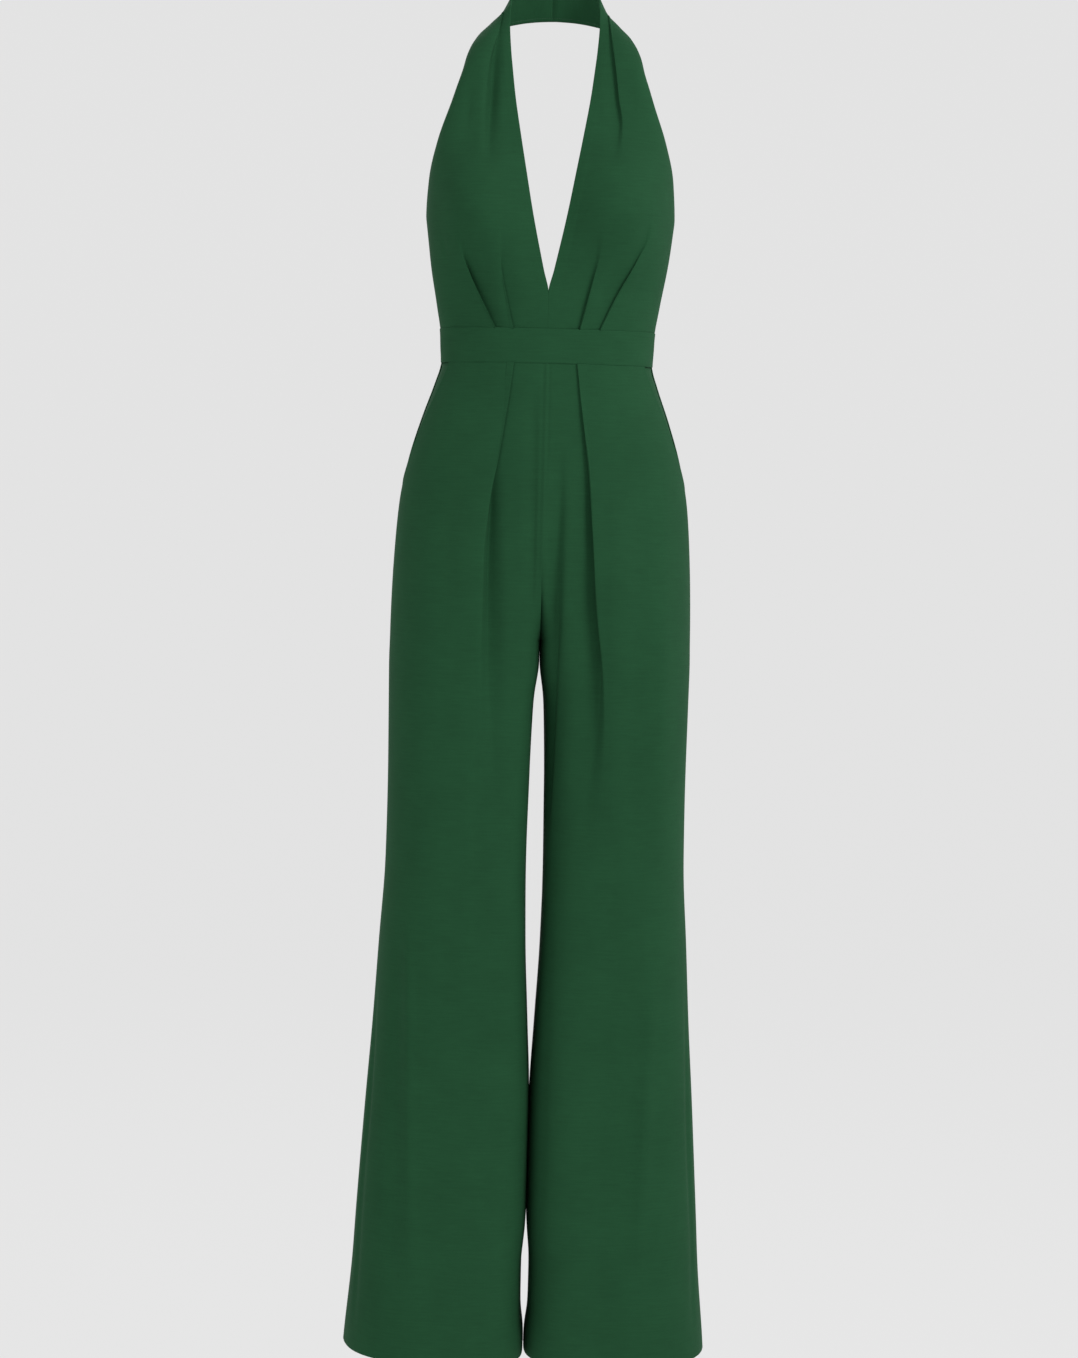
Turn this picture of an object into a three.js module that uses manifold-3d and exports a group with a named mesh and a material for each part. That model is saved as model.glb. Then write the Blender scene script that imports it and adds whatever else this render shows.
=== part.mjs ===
// A halter-neck jumpsuit with wide legs, filled out as it is when worn, in millimetres with +Z up.
// The front faces -Y and +X is the wearer's left. The origin is the nape: the point on the inner face of the
// neckband, halfway up it at the centre back, where the garment hangs from the wearer's neck.
import * as THREE from "three";
import { mergeVertices } from "three/addons/utils/BufferGeometryUtils.js";
import Module from "manifold-3d";

const wasm = await Module();
wasm.setup();

// Cloth, and the clearances between pieces
const CLOTH = 1.5; // wall of the crepe panels
const BAND_CLOTH = 2.2; // wall of the neckband and the waistband, which are cut double
const SEAM = 0.3; // gap between two pieces that are sewn together
const LAYER = 0.5; // gap between two small pieces of which one lies on the other
const UNDERLAY = 1.6; // gap between a panel and the pocket facing under it
const HEM_TURN = 38; // depth of the turned-up hem
const HEM_EXTRA = 1.1; // what the turn adds to the wall, on the inside

// Heights, measured from the nape
const UNDERARM = -250;
const NECK_POINT = -330; // foot of the V
const BACK_TOP = -342; // top edge of the back at the centre
const WAIST_TOP = -373;
const WAIST_FOOT = -411;
const POCKET_FOOT = -548;
const ZIP_FOOT = -562;
const HEM = -1526;

// Other driving sizes
const MIDDLE_Y = -84; // depth of the body's own axis
const POCKET_SLANT = 42; // how far the pocket mouth starts in front of the side seam
const FACING_UNDERLAP = 16; // how far the pocket facing runs on under the front, and under the back
const BAND_PROUD = 0.7; // the waistband stands out from the panels above and below it
const BODY_ROUND = 2.25; // exponent of the body's and the legs' oval sections, 2 for an ellipse
const BUST = { x: 82, z: -236, out: 24, wide: 44, high: 58 }; // fullness of each cup over the plain section
const NECK_OVERLAP = 24; // how far one end of the neckband laps over the other
const FOLD_BEND = 0.9; // reach of a pleat's bend past its crease

const GREEN = { color: 0x25502f, roughness: 0.85, metalness: 0 };
const TAPE_GREEN = { color: 0x1f4429, roughness: 0.9, metalness: 0 };
const ENAMEL_GREEN = { color: 0x1f4a2b, roughness: 0.4, metalness: 0.3 };

// Half sections of the body and of one leg: the oval's outer and inner end in X, its side seam, front and back in Y.
// Above the crotch the oval runs on past the centre, where the centre seam cuts it off.
const BODY = table("z outer inner side front back", [
  [-250, 138.4, -138.4, -88, -176, 6],
  [-300, 132.0, -132.0, -88, -171, -2],
  [-345, 124.4, -124.4, -88, -168, -7],
  [-373, 120.2, -120.2, -88, -168, -9],
  [-392, 118.8, -118.8, -88, -169, -9],
  [-411, 118.4, -118.4, -88, -171, -7],
  [-432, 124.2, -124.2, -88, -174, -2],
  [-472, 138.4, -138.4, -87, -180, 11],
  [-517, 152.0, -152.0, -86, -184, 23],
  [-562, 161.0, -161.0, -85, -186, 31],
  [-592, 164.0, -148.0, -85, -187, 33],
  [-622, 166.0, -102.0, -84, -187, 34],
  [-652, 167.4, -52.0, -84, -186, 33],
  [-680, 168.2, -18.0, -84, -185, 30],
  [-702, 168.6, -4.0, -84, -184, 27],
  [-720, 168.8, 0.5, -84, -183, 24],
  [-745, 169.2, 1.2, -84, -181, 19],
  [-787, 168.8, 5.8, -83, -177, 12],
  [-878, 168.0, 8.6, -82, -171, 2],
  [-970, 169.0, 9.8, -81, -167, -2],
  [-1061, 174.4, 8.3, -80, -166, -1],
  [-1153, 179.6, 4.0, -80, -168, 3],
  [-1245, 186.0, 0.8, -80, -171, 8],
  [-1372, 193.8, 0.8, -80, -176, 15],
  [-1430, 197.2, 4.4, -80, -178, 18],
  [-1482, 202.0, 4.2, -80, -180, 20],
  [-1506, 204.4, 0.9, -80, -181, 21],
  [-1526, 206.0, 0.8, -80, -182, 22],
]);

// The front of the bodice, from the waist seam to the neckband: its inner edge, its outer edge and the crown
// between them, along the way up. Below the underarm the outer edge is the side seam of the body's section.
const BODICE = table("at innerX innerY innerZ outerX outerY outerZ crown", [
  [0, 0.15, -168, -372.7, 120.2, -88, -372.7, 0],
  [42, 0.15, -168, -331, 126.8, -88, -331, 2],
  [64, 6.0, -168, -309, 130.6, -88, -309, 3],
  [123, 18.6, -167, -250, 138.4, -88, -250, 3],
  [168, 26.8, -158, -205, 135.6, -101, -207, 2],
  [213, 34.8, -140, -160, 126.0, -109, -164, 3],
  [257, 42.0, -118, -116, 111.6, -105, -121, 6],
  [298, 46.4, -98, -80, 100.6, -92, -84, 8],
  [330, 49.2, -80, -52, 91.4, -76, -55, 7],
  [352, 50.6, -66, -32, 83.0, -58, -42, 4],
  [376, 50.8, -51, -9, 72.5, -38, -31.5, 0],
]);

// The neckband from its seam with the bodice (at 0) to the nape: upper and lower edge of its outer face.
const NECK = table("at upperX upperY upperZ lowerX lowerY lowerZ", [
  [0, 50.8, -50.8, -8.6, 72.4, -37.6, -31.3],
  [18, 50.6, -34, 3, 66.6, -19.0, -29.5],
  [36, 45.0, -17.4, 11.0, 55.4, -4.8, -26.3],
  [56, 30.0, -5.8, 16.2, 37.0, 3.2, -22.6],
  [72, 14.2, -2.6, 18.0, 18.0, 6.2, -20.1],
  [86, 0, -2.2, 18.4, 0, 6.7, -19.2],
]);
const NECK_RUN = 86;

// Pleats of the trouser fronts: where the fold lies in X, how far the cloth laps under it (negative once it has
// opened into a slope) and how far each layer stands off the next. The wearer's left pleat is the deeper.
const TROUSER_PLEAT = {
  left: table("z x lap lift", [
    [-411, 33, 13, 1.9],
    [-483, 41.5, 12, 1.9],
    [-559, 51, 8, 2.0],
    [-625, 58, 1, 2.4],
    [-702, 63.5, -12, 3.0],
    [-779, 67, -24, 3.4],
    [-860, 68, -34, 2.0],
    [-1000, 72, -40, 0.01],
  ]),
  right: table("z x lap lift", [
    [-411, 35.5, 10, 1.9],
    [-469, 43, 8, 1.9],
    [-540, 54, 3, 2.0],
    [-600, 60.5, -6, 2.4],
    [-650, 60, -14, 2.6],
    [-715, 56, -24, 2.6],
    [-850, 56, -34, 1.4],
    [-1000, 58, -40, 0.01],
  ]),
};
const PLEAT_FADE = 60; // distance over which the cloth beside a pleat comes back to the plain section

// Pleats of the bodice, along the way up: the inner one runs on to become the fold below the neckband.
const BODICE_PLEATS = [
  table("at x lap lift", [
    [0, 35, 6, 1.9],
    [40, 44.5, 4, 1.9],
    [76, 53, -4, 1.7],
    [120, 64, -14, 0.01],
    [205, 75, -14, 0.01],
    [262, 70, -9, 1.6],
    [318, 64, -3, 1.9],
    [364, 61, -2, 1.4],
    [376, 60, -2, 0.01],
  ]),
  table("at x lap lift", [
    [0, 56.5, 6, 1.9],
    [40, 74, 4, 1.9],
    [76, 89, -4, 1.7],
    [130, 98, -16, 0.01],
    [205, 101, -12, 0.01],
    [262, 93, -10, 0.01],
    [318, 83, -6, 0.01],
    [376, 66, -2, 0.01],
  ]),
];
const BODICE_FADE = 22;

// Soft folds of each leg, front and back: X, the height each starts and ends, and its swell.
const LEG_FOLDS = [
  { side: "front", x: 112, top: -560, foot: -1450, wide: 26, out: 3.0 },
  { side: "front", x: 26, top: -700, foot: -1300, wide: 20, out: -2.5 },
  { side: "back", x: 60, top: -600, foot: -1500, wide: 24, out: 3.5 },
  { side: "back", x: 118, top: -700, foot: -1500, wide: 26, out: -3.0 },
];

// Zip, closed, with its slider at the top of the back
const ZIP = { tapeWide: 24, tapeThick: 1, sliderTop: -344, notchWide: 2.6, notchDeep: 14 };
const SLIDER = { wide: 6, thick: 1.6, tall: 10, neckWide: 1.4 };
const BAIL = { wide: 1.2, inner: 1.25, bar: 0.9 }; // the loop on the slider that carries the pull
const PULL = { wide: 5, long: 24, thick: 1, slotWide: 2.2, slotLong: 3.6, bar: 1.1 };

// A table of named columns, read at any value of its first column by a smooth curve that never overshoots.
function table(names, rows) {
  const keys = names.split(" ");
  const at = rows.map((row) => row[0]);
  const rising = at[at.length - 1] > at[0] ? 1 : -1;
  const columns = keys.map((_, c) => rows.map((row) => row[c]));
  const slopes = columns.map((column) => monotoneSlopes(at, column));
  return (value) => {
    let i = 0;
    while (i < at.length - 2 && rising * value > rising * at[i + 1]) i++;
    const span = at[i + 1] - at[i];
    const t = THREE.MathUtils.clamp((value - at[i]) / span, 0, 1);
    const read = (c) => hermite(columns[c], slopes[c], i, span, t);
    return Object.fromEntries(keys.map((key, c) => [key, read(c)]));
  };
}

function monotoneSlopes(at, values) {
  const rate = values.slice(1).map((v, i) => (v - values[i]) / (at[i + 1] - at[i]));
  return values.map((_, i) => {
    if (i === 0) return rate[0];
    if (i === values.length - 1) return rate[i - 1];
    if (rate[i - 1] * rate[i] <= 0) return 0;
    return (2 * rate[i - 1] * rate[i]) / (rate[i - 1] + rate[i]);
  });
}

function hermite(values, slopes, i, span, t) {
  const t2 = t * t;
  const t3 = t2 * t;
  return (
    (2 * t3 - 3 * t2 + 1) * values[i] +
    (t3 - 2 * t2 + t) * span * slopes[i] +
    (3 * t2 - 2 * t3) * values[i + 1] +
    (t3 - t2) * span * slopes[i + 1]
  );
}

// Values spread evenly from a to b, both included.
function spread(a, b, intervals) {
  return Array.from({ length: intervals + 1 }, (_, i) => a + ((b - a) * i) / intervals);
}

// A bump that is 1 at its middle and fades smoothly to 0 at distance 1.
function fade(distance) {
  const d = Math.min(1, Math.abs(distance));
  return (1 - d * d) ** 2;
}

// A curve through many points, read by its length: the point and the outward normal in the XY plane.
class Outline {
  constructor(points, outward) {
    this.points = points;
    this.outward = outward;
    this.reach = [0];
    for (let i = 1; i < points.length; i++) {
      this.reach.push(this.reach[i - 1] + points[i].distanceTo(points[i - 1]));
    }
    this.length = this.reach[points.length - 1];
  }

  segment(s) {
    let i = 0;
    while (i < this.reach.length - 2 && s > this.reach[i + 1]) i++;
    return i;
  }

  point(s) {
    const i = this.segment(s);
    const t = (s - this.reach[i]) / (this.reach[i + 1] - this.reach[i]);
    return this.points[i].clone().lerp(this.points[i + 1], t);
  }

  // The length at which the curve, which runs outwards in X, first reaches x.
  lengthAt(x) {
    const i = this.points.findIndex((p) => Math.abs(p.x) >= x);
    if (i <= 0) return i === 0 ? 0 : this.length;
    const a = Math.abs(this.points[i - 1].x);
    const b = Math.abs(this.points[i].x);
    return this.reach[i - 1] + ((x - a) / (b - a)) * (this.reach[i] - this.reach[i - 1]);
  }

  normal(s) {
    const along = this.point(Math.min(s + 2, this.length)).sub(this.point(Math.max(s - 2, 0)));
    return along.cross(this.outward).normalize();
  }
}

// A point of the body's oval section at an angle from the side seam, for the left half; front is 1 or -1 for back.
function oval(section, angle, front, proud = 0) {
  const middle = (section.outer + section.inner) / 2;
  const halfWide = (section.outer - section.inner) / 2 + proud;
  const deep = (front > 0 ? section.side - section.front : section.back - section.side) + proud;
  const c = Math.cos(angle);
  const s = Math.sin(angle);
  const x = middle + halfWide * Math.sign(c) * Math.abs(c) ** (2 / BODY_ROUND);
  const y = section.side - front * deep * Math.abs(s) ** (2 / BODY_ROUND);
  return new THREE.Vector3(x, y, section.z);
}

// The outer face of half a section, from the centre seam (or the inseam, below the crotch) out to the side seam.
function halfSection(z, front, proud = 0) {
  const section = { ...BODY(z), z };
  const points = [];
  const steps = 240;
  for (let i = 0; i <= steps; i++) {
    const p = oval(section, Math.PI * (1 - i / steps), front, proud);
    const past = p.x < SEAM / 2;
    const atSeam = front * (section.side - p.y) < SEAM / 2;
    if (past || atSeam) continue;
    points.push(p);
  }
  const seamY = section.side - (front * SEAM) / 2;
  if (section.inner - proud < SEAM / 2) points.unshift(points[0].clone().setX(SEAM / 2));
  else points.unshift(new THREE.Vector3(section.inner - proud, seamY, z));
  points.push(new THREE.Vector3(section.outer + proud, seamY, z));
  const turn = new THREE.Vector3(0, 0, front);
  return new Outline(points, turn);
}

// Stations across a panel, as lengths and heights over its plain face, with a folded pleat at each crease.
function stations(curve, from, to, pleats, counts, fadeOver) {
  const found = [];
  const add = (s, own, crease) => {
    const others = pleats.filter((p) => p !== crease);
    const swell = (p) => (s < p.s ? -1 : 1) * p.lift * fade((s - p.s) / fadeOver);
    found.push({ s, h: own + others.reduce((sum, p) => sum + swell(p), 0) });
  };
  let start = from;
  pleats.forEach((p, k) => {
    const under = p.s + p.lap;
    const opened = Math.max(0, -p.lap);
    const bend = FOLD_BEND * THREE.MathUtils.smoothstep(p.lap, -4, 1) + 0.3 * opened;
    const low = (s) => -p.lift * (s > p.s ? 1 : fade((p.s - s) / fadeOver));
    for (const s of spread(start, under, counts[k])) add(s, low(s), p);
    add(under + bend, -p.lift / 2, p);
    add((under + p.s) / 2, 0, p);
    add(p.s - bend, p.lift / 2, p);
    start = p.s;
  });
  const last = pleats[pleats.length - 1];
  for (const s of spread(start, to, counts[pleats.length])) {
    if (last) add(s, last.lift * fade((s - last.s) / fadeOver), last);
    else add(s, 0);
  }
  // The plain stretch after an earlier pleat starts at its crease, which is already on the top layer.
  return found.map(({ s, h }) => curve.point(s).addScaledVector(curve.normal(s), h));
}

// The direction of a line of points at one of them, and how much longer a bend makes the way across it.
function heading(list, i) {
  const before = i > 0 ? list[i].clone().sub(list[i - 1]).normalize() : null;
  const after = i < list.length - 1 ? list[i + 1].clone().sub(list[i]).normalize() : null;
  if (!before) return { along: after, stretch: 1 };
  if (!after) return { along: before, stretch: 1 };
  const along = before.add(after);
  const half = along.length() / 2;
  return { along: along.normalize(), stretch: 1 / Math.max(half, 0.7) };
}

// The edge of a panel at the centre seam, the side seam or the inseam is square to the seam.
function keepInSeam(normal, p) {
  if (Math.abs(p.y - BODY(p.z).side) < SEAM) normal.y = 0;
  else if (Math.abs(p.x) < SEAM) normal.x = 0;
}

// A closed wall through rows of points: inwards and outwards from them by the given depths. A level row stays
// level, so that the edge of a panel stays clear of the piece sewn to it.
function wall(rows, inwards, outwards = 0) {
  const high = rows.length;
  const wide = rows[0].length;
  const columns = rows[0].map((_, c) => rows.map((row) => row[c]));
  const outer = [];
  const inner = [];
  let facing = 0;
  const offsets = rows.map((row, r) => {
    const level = Math.abs(row[0].z - row[wide - 1].z) < 0.01;
    return row.map((p, c) => {
      const across = heading(row, c);
      const normal = across.along.clone().cross(heading(columns[c], r).along);
      if (level) normal.z = 0;
      if (c === 0 || c === wide - 1) keepInSeam(normal, p);
      normal.normalize();
      facing += normal.x * p.x + normal.y * (p.y - MIDDLE_Y);
      return normal.multiplyScalar(across.stretch);
    });
  });
  const sign = Math.sign(facing);
  rows.forEach((row, r) => {
    const depth = typeof inwards === "function" ? inwards(r) : inwards;
    row.forEach((p, c) => {
      outer.push(p.clone().addScaledVector(offsets[r][c], sign * outwards));
      inner.push(p.clone().addScaledVector(offsets[r][c], -sign * depth));
    });
  });
  const index = [];
  const quad = (a, b, c, d) => index.push(a, b, c, a, c, d);
  const count = high * wide;
  for (let r = 0; r < high - 1; r++) {
    for (let c = 0; c < wide - 1; c++) {
      const a = r * wide + c;
      quad(a, a + 1, a + wide + 1, a + wide);
      quad(count + a, count + a + wide, count + a + wide + 1, count + a + 1);
    }
  }
  const rim = (a, b) => quad(a, count + a, count + b, b);
  for (let c = 0; c < wide - 1; c++) {
    rim(c, c + 1);
    rim((high - 1) * wide + c + 1, (high - 1) * wide + c);
  }
  for (let r = 0; r < high - 1; r++) {
    rim((r + 1) * wide, r * wide);
    rim(r * wide + wide - 1, (r + 1) * wide + wide - 1);
  }
  const geometry = new THREE.BufferGeometry().setFromPoints([...outer, ...inner]);
  geometry.setIndex(index);
  return facingOut(geometry);
}

// Turns every face round when the solid is inside out.
function facingOut(geometry) {
  if (signedVolume(geometry) < 0) geometry.setIndex([...geometry.getIndex().array].reverse());
  geometry.computeVertexNormals();
  return geometry;
}

function signedVolume(geometry) {
  const p = geometry.getAttribute("position");
  const index = geometry.getIndex().array;
  const corner = (i) => new THREE.Vector3().fromBufferAttribute(p, index[i]);
  let sum = 0;
  for (let i = 0; i < index.length; i += 3) sum += corner(i).dot(corner(i + 1).cross(corner(i + 2)));
  return sum;
}

// Panels are made for the wearer's left; the right one is the same shape on the other side.
function sided(geometry, side) {
  return side === "left" ? geometry : facingOut(geometry.scale(-1, 1, 1));
}

function mirrored(row) {
  return row.map((p) => new THREE.Vector3(-p.x, p.y, p.z));
}

// Swell of the soft leg folds at a point.
function legFold(p, facing) {
  const found = LEG_FOLDS.filter((f) => f.side === facing);
  return found.reduce((sum, f) => {
    const middle = (f.top + f.foot) / 2;
    const along = fade((p.z - middle) / ((f.top - f.foot) / 2));
    return sum + f.out * along * fade((Math.abs(p.x) - f.x) / f.wide);
  }, 0);
}

function swollen(rows, facing) {
  return rows.map((row) =>
    row.map((p) => {
      const out = legFold(p, facing);
      return new THREE.Vector3(p.x, p.y + (facing === "front" ? -out : out), p.z);
    }),
  );
}

// Heights of a leg panel's rows: close at the pleats and the crotch, wider down the leg.
function legHeights(top) {
  return [
    ...spread(top, -607, 8),
    ...[-630, -650, -668, -684, -698, -709, -717, -724, -738, -760],
    ...spread(-800, HEM + HEM_TURN + 0.5, 10),
    HEM + HEM_TURN - 0.5,
    HEM,
  ];
}

// How far in front of the side seam the front's edge lies: the slanting pocket mouth, then nothing.
function pocketMouth(z) {
  const down = Math.max(0, (WAIST_FOOT - z) / (WAIST_FOOT - POCKET_FOOT));
  return down > 1 ? 0 : POCKET_SLANT * Math.sqrt(1 - down);
}

function legFront(side) {
  const pleatAt = TROUSER_PLEAT[side];
  const heights = legHeights(WAIST_FOOT - SEAM);
  const rows = heights.map((z) => {
    const curve = halfSection(z, 1);
    const p = pleatAt(z);
    const pleat = { s: curve.lengthAt(p.x), lap: p.lap, lift: p.lift };
    return stations(curve, 0, curve.length - pocketMouth(z), [pleat], [8, 10], PLEAT_FADE);
  });
  const inwards = (r) => CLOTH + (heights[r] < HEM + HEM_TURN ? HEM_EXTRA : 0);
  return sided(wall(swollen(rows, "front"), inwards), side);
}

function legBack(side) {
  const heights = legHeights(WAIST_FOOT - SEAM);
  const rows = heights.map((z) => {
    const curve = halfSection(z, -1);
    return stations(curve, 0, curve.length, [], [13], PLEAT_FADE);
  });
  const inwards = (r) => CLOTH + (heights[r] < HEM + HEM_TURN ? HEM_EXTRA : 0);
  return sided(wall(swollen(rows, "back"), inwards), side);
}

// The piece that shows inside the pocket mouth. It lies just inside the front and back panels.
function pocketFacing(side) {
  const inset = -(CLOTH + UNDERLAY);
  const rows = spread(WAIST_FOOT - SEAM, POCKET_FOOT - FACING_UNDERLAP, 9).map((z) => {
    const front = halfSection(z, 1, inset);
    const back = halfSection(z, -1, inset);
    const forward = pocketMouth(z) + FACING_UNDERLAP;
    const behind = spread(back.length - FACING_UNDERLAP, back.length, 2).map((s) => back.point(s));
    const ahead = spread(front.length, front.length - forward, 5).map((s) => front.point(s));
    return [...behind.slice(0, -1), ...ahead];
  });
  return sided(wall(rows, CLOTH), side);
}

function waistband(front, side) {
  const heights = spread(WAIST_TOP, WAIST_FOOT, 2);
  const half = heights.map((z) => {
    const curve = halfSection(z, front, BAND_PROUD);
    return stations(curve, 0, curve.length, [], [11], PLEAT_FADE);
  });
  if (front < 0) return sided(wall(half, BAND_CLOTH), side);
  // The front is one piece, so its two halves meet on the centre line.
  const whole = half.map((row) => {
    const rest = row.slice(1);
    return [...mirrored(rest).reverse(), row[0].setX(0), ...rest];
  });
  return wall(whole, BAND_CLOTH);
}

// One row of the bodice's front, from its inner edge to its outer edge.
function bodiceRow(at) {
  const e = BODICE(at);
  const below = e.outerZ <= UNDERARM;
  const outerX = below ? BODY(e.outerZ).outer : e.outerX;
  const outerY = e.outerY - SEAM / 2;
  const next = BODICE(Math.min(at + 4, 376));
  const last = BODICE(Math.max(at - 4, 0));
  const up = new THREE.Vector3(
    next.innerX + next.outerX - last.innerX - last.outerX,
    next.innerY + next.outerY - last.innerY - last.outerY,
    next.innerZ + next.outerZ - last.innerZ - last.outerZ,
  );
  const across = new THREE.Vector3(outerX - e.innerX, outerY - e.innerY, e.outerZ - e.innerZ);
  const outwards = across.clone().cross(up).normalize();
  const straight = THREE.MathUtils.smoothstep(at, 270, 366);
  const points = spread(0, 1, 60).map((t) => {
    const angle = (t * Math.PI) / 2;
    const round = Math.sin(angle) ** (2 / BODY_ROUND);
    const deep = 1 - Math.cos(angle) ** (2 / BODY_ROUND);
    const x = e.innerX + (outerX - e.innerX) * THREE.MathUtils.lerp(round, t, straight);
    const y = e.innerY + (outerY - e.innerY) * THREE.MathUtils.lerp(deep, t, straight);
    const z = e.innerZ + (e.outerZ - e.innerZ) * t;
    const cup = fade((x - BUST.x) / (BUST.wide * 1.7)) * fade((z - BUST.z) / (BUST.high * 1.7));
    const p = new THREE.Vector3(x, y - BUST.out * cup * (1 - t ** 5), z);
    return p.addScaledVector(outwards, e.crown * Math.sin(Math.PI * t));
  });
  return new Outline(points, new THREE.Vector3(0, 0, 1));
}

function bodiceFront(side) {
  const ways = [...spread(0, 120, 8), ...spread(138, 338, 8), 351, 364, 376];
  const rows = ways.map((at) => {
    const curve = bodiceRow(at);
    const pleats = BODICE_PLEATS.map((pleat) => {
      const p = pleat(at);
      return { s: curve.lengthAt(p.x), lap: p.lap, lift: p.lift };
    });
    return stations(curve, 0, curve.length, pleats, [4, 3, 5], BODICE_FADE);
  });
  return sided(wall(rows, CLOTH), side);
}

// The low back: from the side seam to the centre, under a scooped edge.
function bodiceBack(side) {
  const across = spread(0, 1, 10);
  const foot = WAIST_TOP + SEAM;
  const rows = spread(0, 1, 5).map((up) =>
    across.map((u) => {
      const top = BACK_TOP + (UNDERARM - BACK_TOP) * u ** 2.4;
      const z = foot + (top - foot) * up;
      const curve = halfSection(z, -1);
      const notch = z > BACK_TOP - ZIP.notchDeep ? (ZIP.notchWide - SEAM) / 2 : 0;
      return curve.point(notch + (curve.length - notch) * u);
    }),
  );
  return sided(wall(rows, CLOTH), side);
}

// The neckband's outer face at a distance from the nape, towards the left for a positive distance.
function neckSection(run) {
  const e = NECK(NECK_RUN - Math.abs(run));
  const side = Math.sign(run) || 1;
  const upper = new THREE.Vector3(side * e.upperX, e.upperY, e.upperZ);
  const lower = new THREE.Vector3(side * e.lowerX, e.lowerY, e.lowerZ);
  return { upper, lower };
}

// The left end laps over the outside of the right end at the nape.
function neckband(side) {
  const left = side === "left";
  const end = left ? -NECK_OVERLAP : -1;
  const rows = spread(NECK_RUN - 2 * SEAM, end, 14).map((run) => {
    const { upper, lower } = neckSection(run);
    const lap = left ? THREE.MathUtils.smoothstep(-run, -34, -4) : 0;
    const away = new THREE.Vector3(upper.x + lower.x, upper.y + lower.y + 80, 0).normalize();
    const clear = lap * (BAND_CLOTH + LAYER);
    return spread(0, 1, 3).map((t) => upper.clone().lerp(lower, t).addScaledVector(away, clear));
  });
  return sided(wall(rows, BAND_CLOTH), side);
}

// A closed mesh as a solid for joining, and back.
function solid(geometry) {
  const bare = geometry.clone();
  bare.deleteAttribute("normal");
  bare.deleteAttribute("uv");
  const merged = mergeVertices(bare, 1e-4);
  const vertProperties = merged.getAttribute("position").array;
  const triVerts = new Uint32Array(merged.getIndex().array);
  return new wasm.Manifold(new wasm.Mesh({ numProp: 3, vertProperties, triVerts }));
}

function geometryOf(body) {
  const mesh = body.getMesh();
  const geometry = new THREE.BufferGeometry();
  geometry.setAttribute("position", new THREE.BufferAttribute(mesh.vertProperties, 3));
  geometry.setIndex(new THREE.BufferAttribute(mesh.triVerts, 1));
  geometry.computeVertexNormals();
  return geometry;
}

// Centre back of the garment's outer face.
function backY(z) {
  return BODY(z).back;
}

// The zip's tape follows the centre back, just inside the panels.
function zipTape() {
  const inset = -(CLOTH + LAYER);
  const rows = spread(ZIP.sliderTop - SLIDER.tall - 3, ZIP_FOOT, 12).map((z) => {
    const curve = halfSection(z, -1, inset);
    const half = spread(0, ZIP.tapeWide / 2, 2).map((s) => curve.point(s));
    const rest = half.slice(1);
    return [...mirrored(rest).reverse(), half[0].setX(0), ...rest];
  });
  return wall(rows, ZIP.tapeThick);
}

// The pull turns about a bar inside the slider's bail, just outside the cloth.
function pullAxis() {
  const z = ZIP.sliderTop - SLIDER.tall / 2;
  return new THREE.Vector3(0, backY(z) + 2.4, z);
}

function zipSlider() {
  const axis = pullAxis();
  const face = backY(axis.z);
  const inside = face - CLOTH - 0.6;
  const plate = new THREE.BoxGeometry(SLIDER.wide, SLIDER.thick, SLIDER.tall);
  plate.translate(0, inside - SLIDER.thick / 2, axis.z);
  const neck = new THREE.BoxGeometry(SLIDER.neckWide, 4, SLIDER.tall - 2);
  neck.translate(0, inside + 1.4, axis.z);
  const loop = new THREE.Shape();
  const outer = BAIL.inner + BAIL.bar;
  loop.absarc(0, 0, outer, 0, 2 * Math.PI);
  const eye = new THREE.Path();
  eye.absarc(0, 0, BAIL.inner, 0, 2 * Math.PI);
  loop.holes.push(eye);
  const bail = new THREE.ExtrudeGeometry(loop, { depth: BAIL.wide, bevelEnabled: false, curveSegments: 10 });
  bail.translate(0, 0, -BAIL.wide / 2);
  bail.rotateY(Math.PI / 2);
  bail.translate(0, axis.y, axis.z);
  return geometryOf(solid(plate).add(solid(neck)).add(solid(bail)));
}

// The pull is a flat drop with a slot, hanging from the bail; its own origin is the axis it turns about.
function zipPull() {
  const half = PULL.wide / 2;
  const top = PULL.bar / 2;
  const centre = top - PULL.long + half;
  const tip = spread(0, Math.PI, 12).map((a) => new THREE.Vector2(half * Math.cos(a), centre - half * Math.sin(a)));
  const shoulder = half * 0.62;
  const shape = new THREE.Shape([new THREE.Vector2(shoulder, top), ...tip, new THREE.Vector2(-shoulder, top)]);
  const drop = new THREE.ExtrudeGeometry(shape, { depth: PULL.thick, bevelEnabled: false });
  drop.translate(0, 0, -PULL.thick / 2);
  drop.rotateX(Math.PI / 2);
  const slot = new THREE.BoxGeometry(PULL.slotWide, PULL.thick * 2, PULL.slotLong);
  slot.translate(0, 0, -PULL.bar / 2 - PULL.slotLong / 2);
  return geometryOf(solid(drop).subtract(solid(slot)));
}

const jumpsuit = new THREE.Group();

function sew(name, geometry, finish = GREEN) {
  const mesh = new THREE.Mesh(geometry, new THREE.MeshStandardMaterial(finish));
  mesh.name = name;
  jumpsuit.add(mesh);
  return mesh;
}

for (const side of ["left", "right"]) {
  sew(`neckband_${side}`, neckband(side));
  sew(`bodice_front_${side}`, bodiceFront(side));
  sew(`bodice_back_${side}`, bodiceBack(side));
  sew(`waistband_back_${side}`, waistband(-1, side));
  sew(`leg_front_${side}`, legFront(side));
  sew(`leg_back_${side}`, legBack(side));
  sew(`pocket_facing_${side}`, pocketFacing(side));
}
sew("waistband_front", waistband(1));
sew("zip_tape", zipTape(), TAPE_GREEN);
sew("zip_slider", zipSlider(), ENAMEL_GREEN);
sew("zip_pull", zipPull(), ENAMEL_GREEN).position.copy(pullAxis());

export default jumpsuit;
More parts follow.
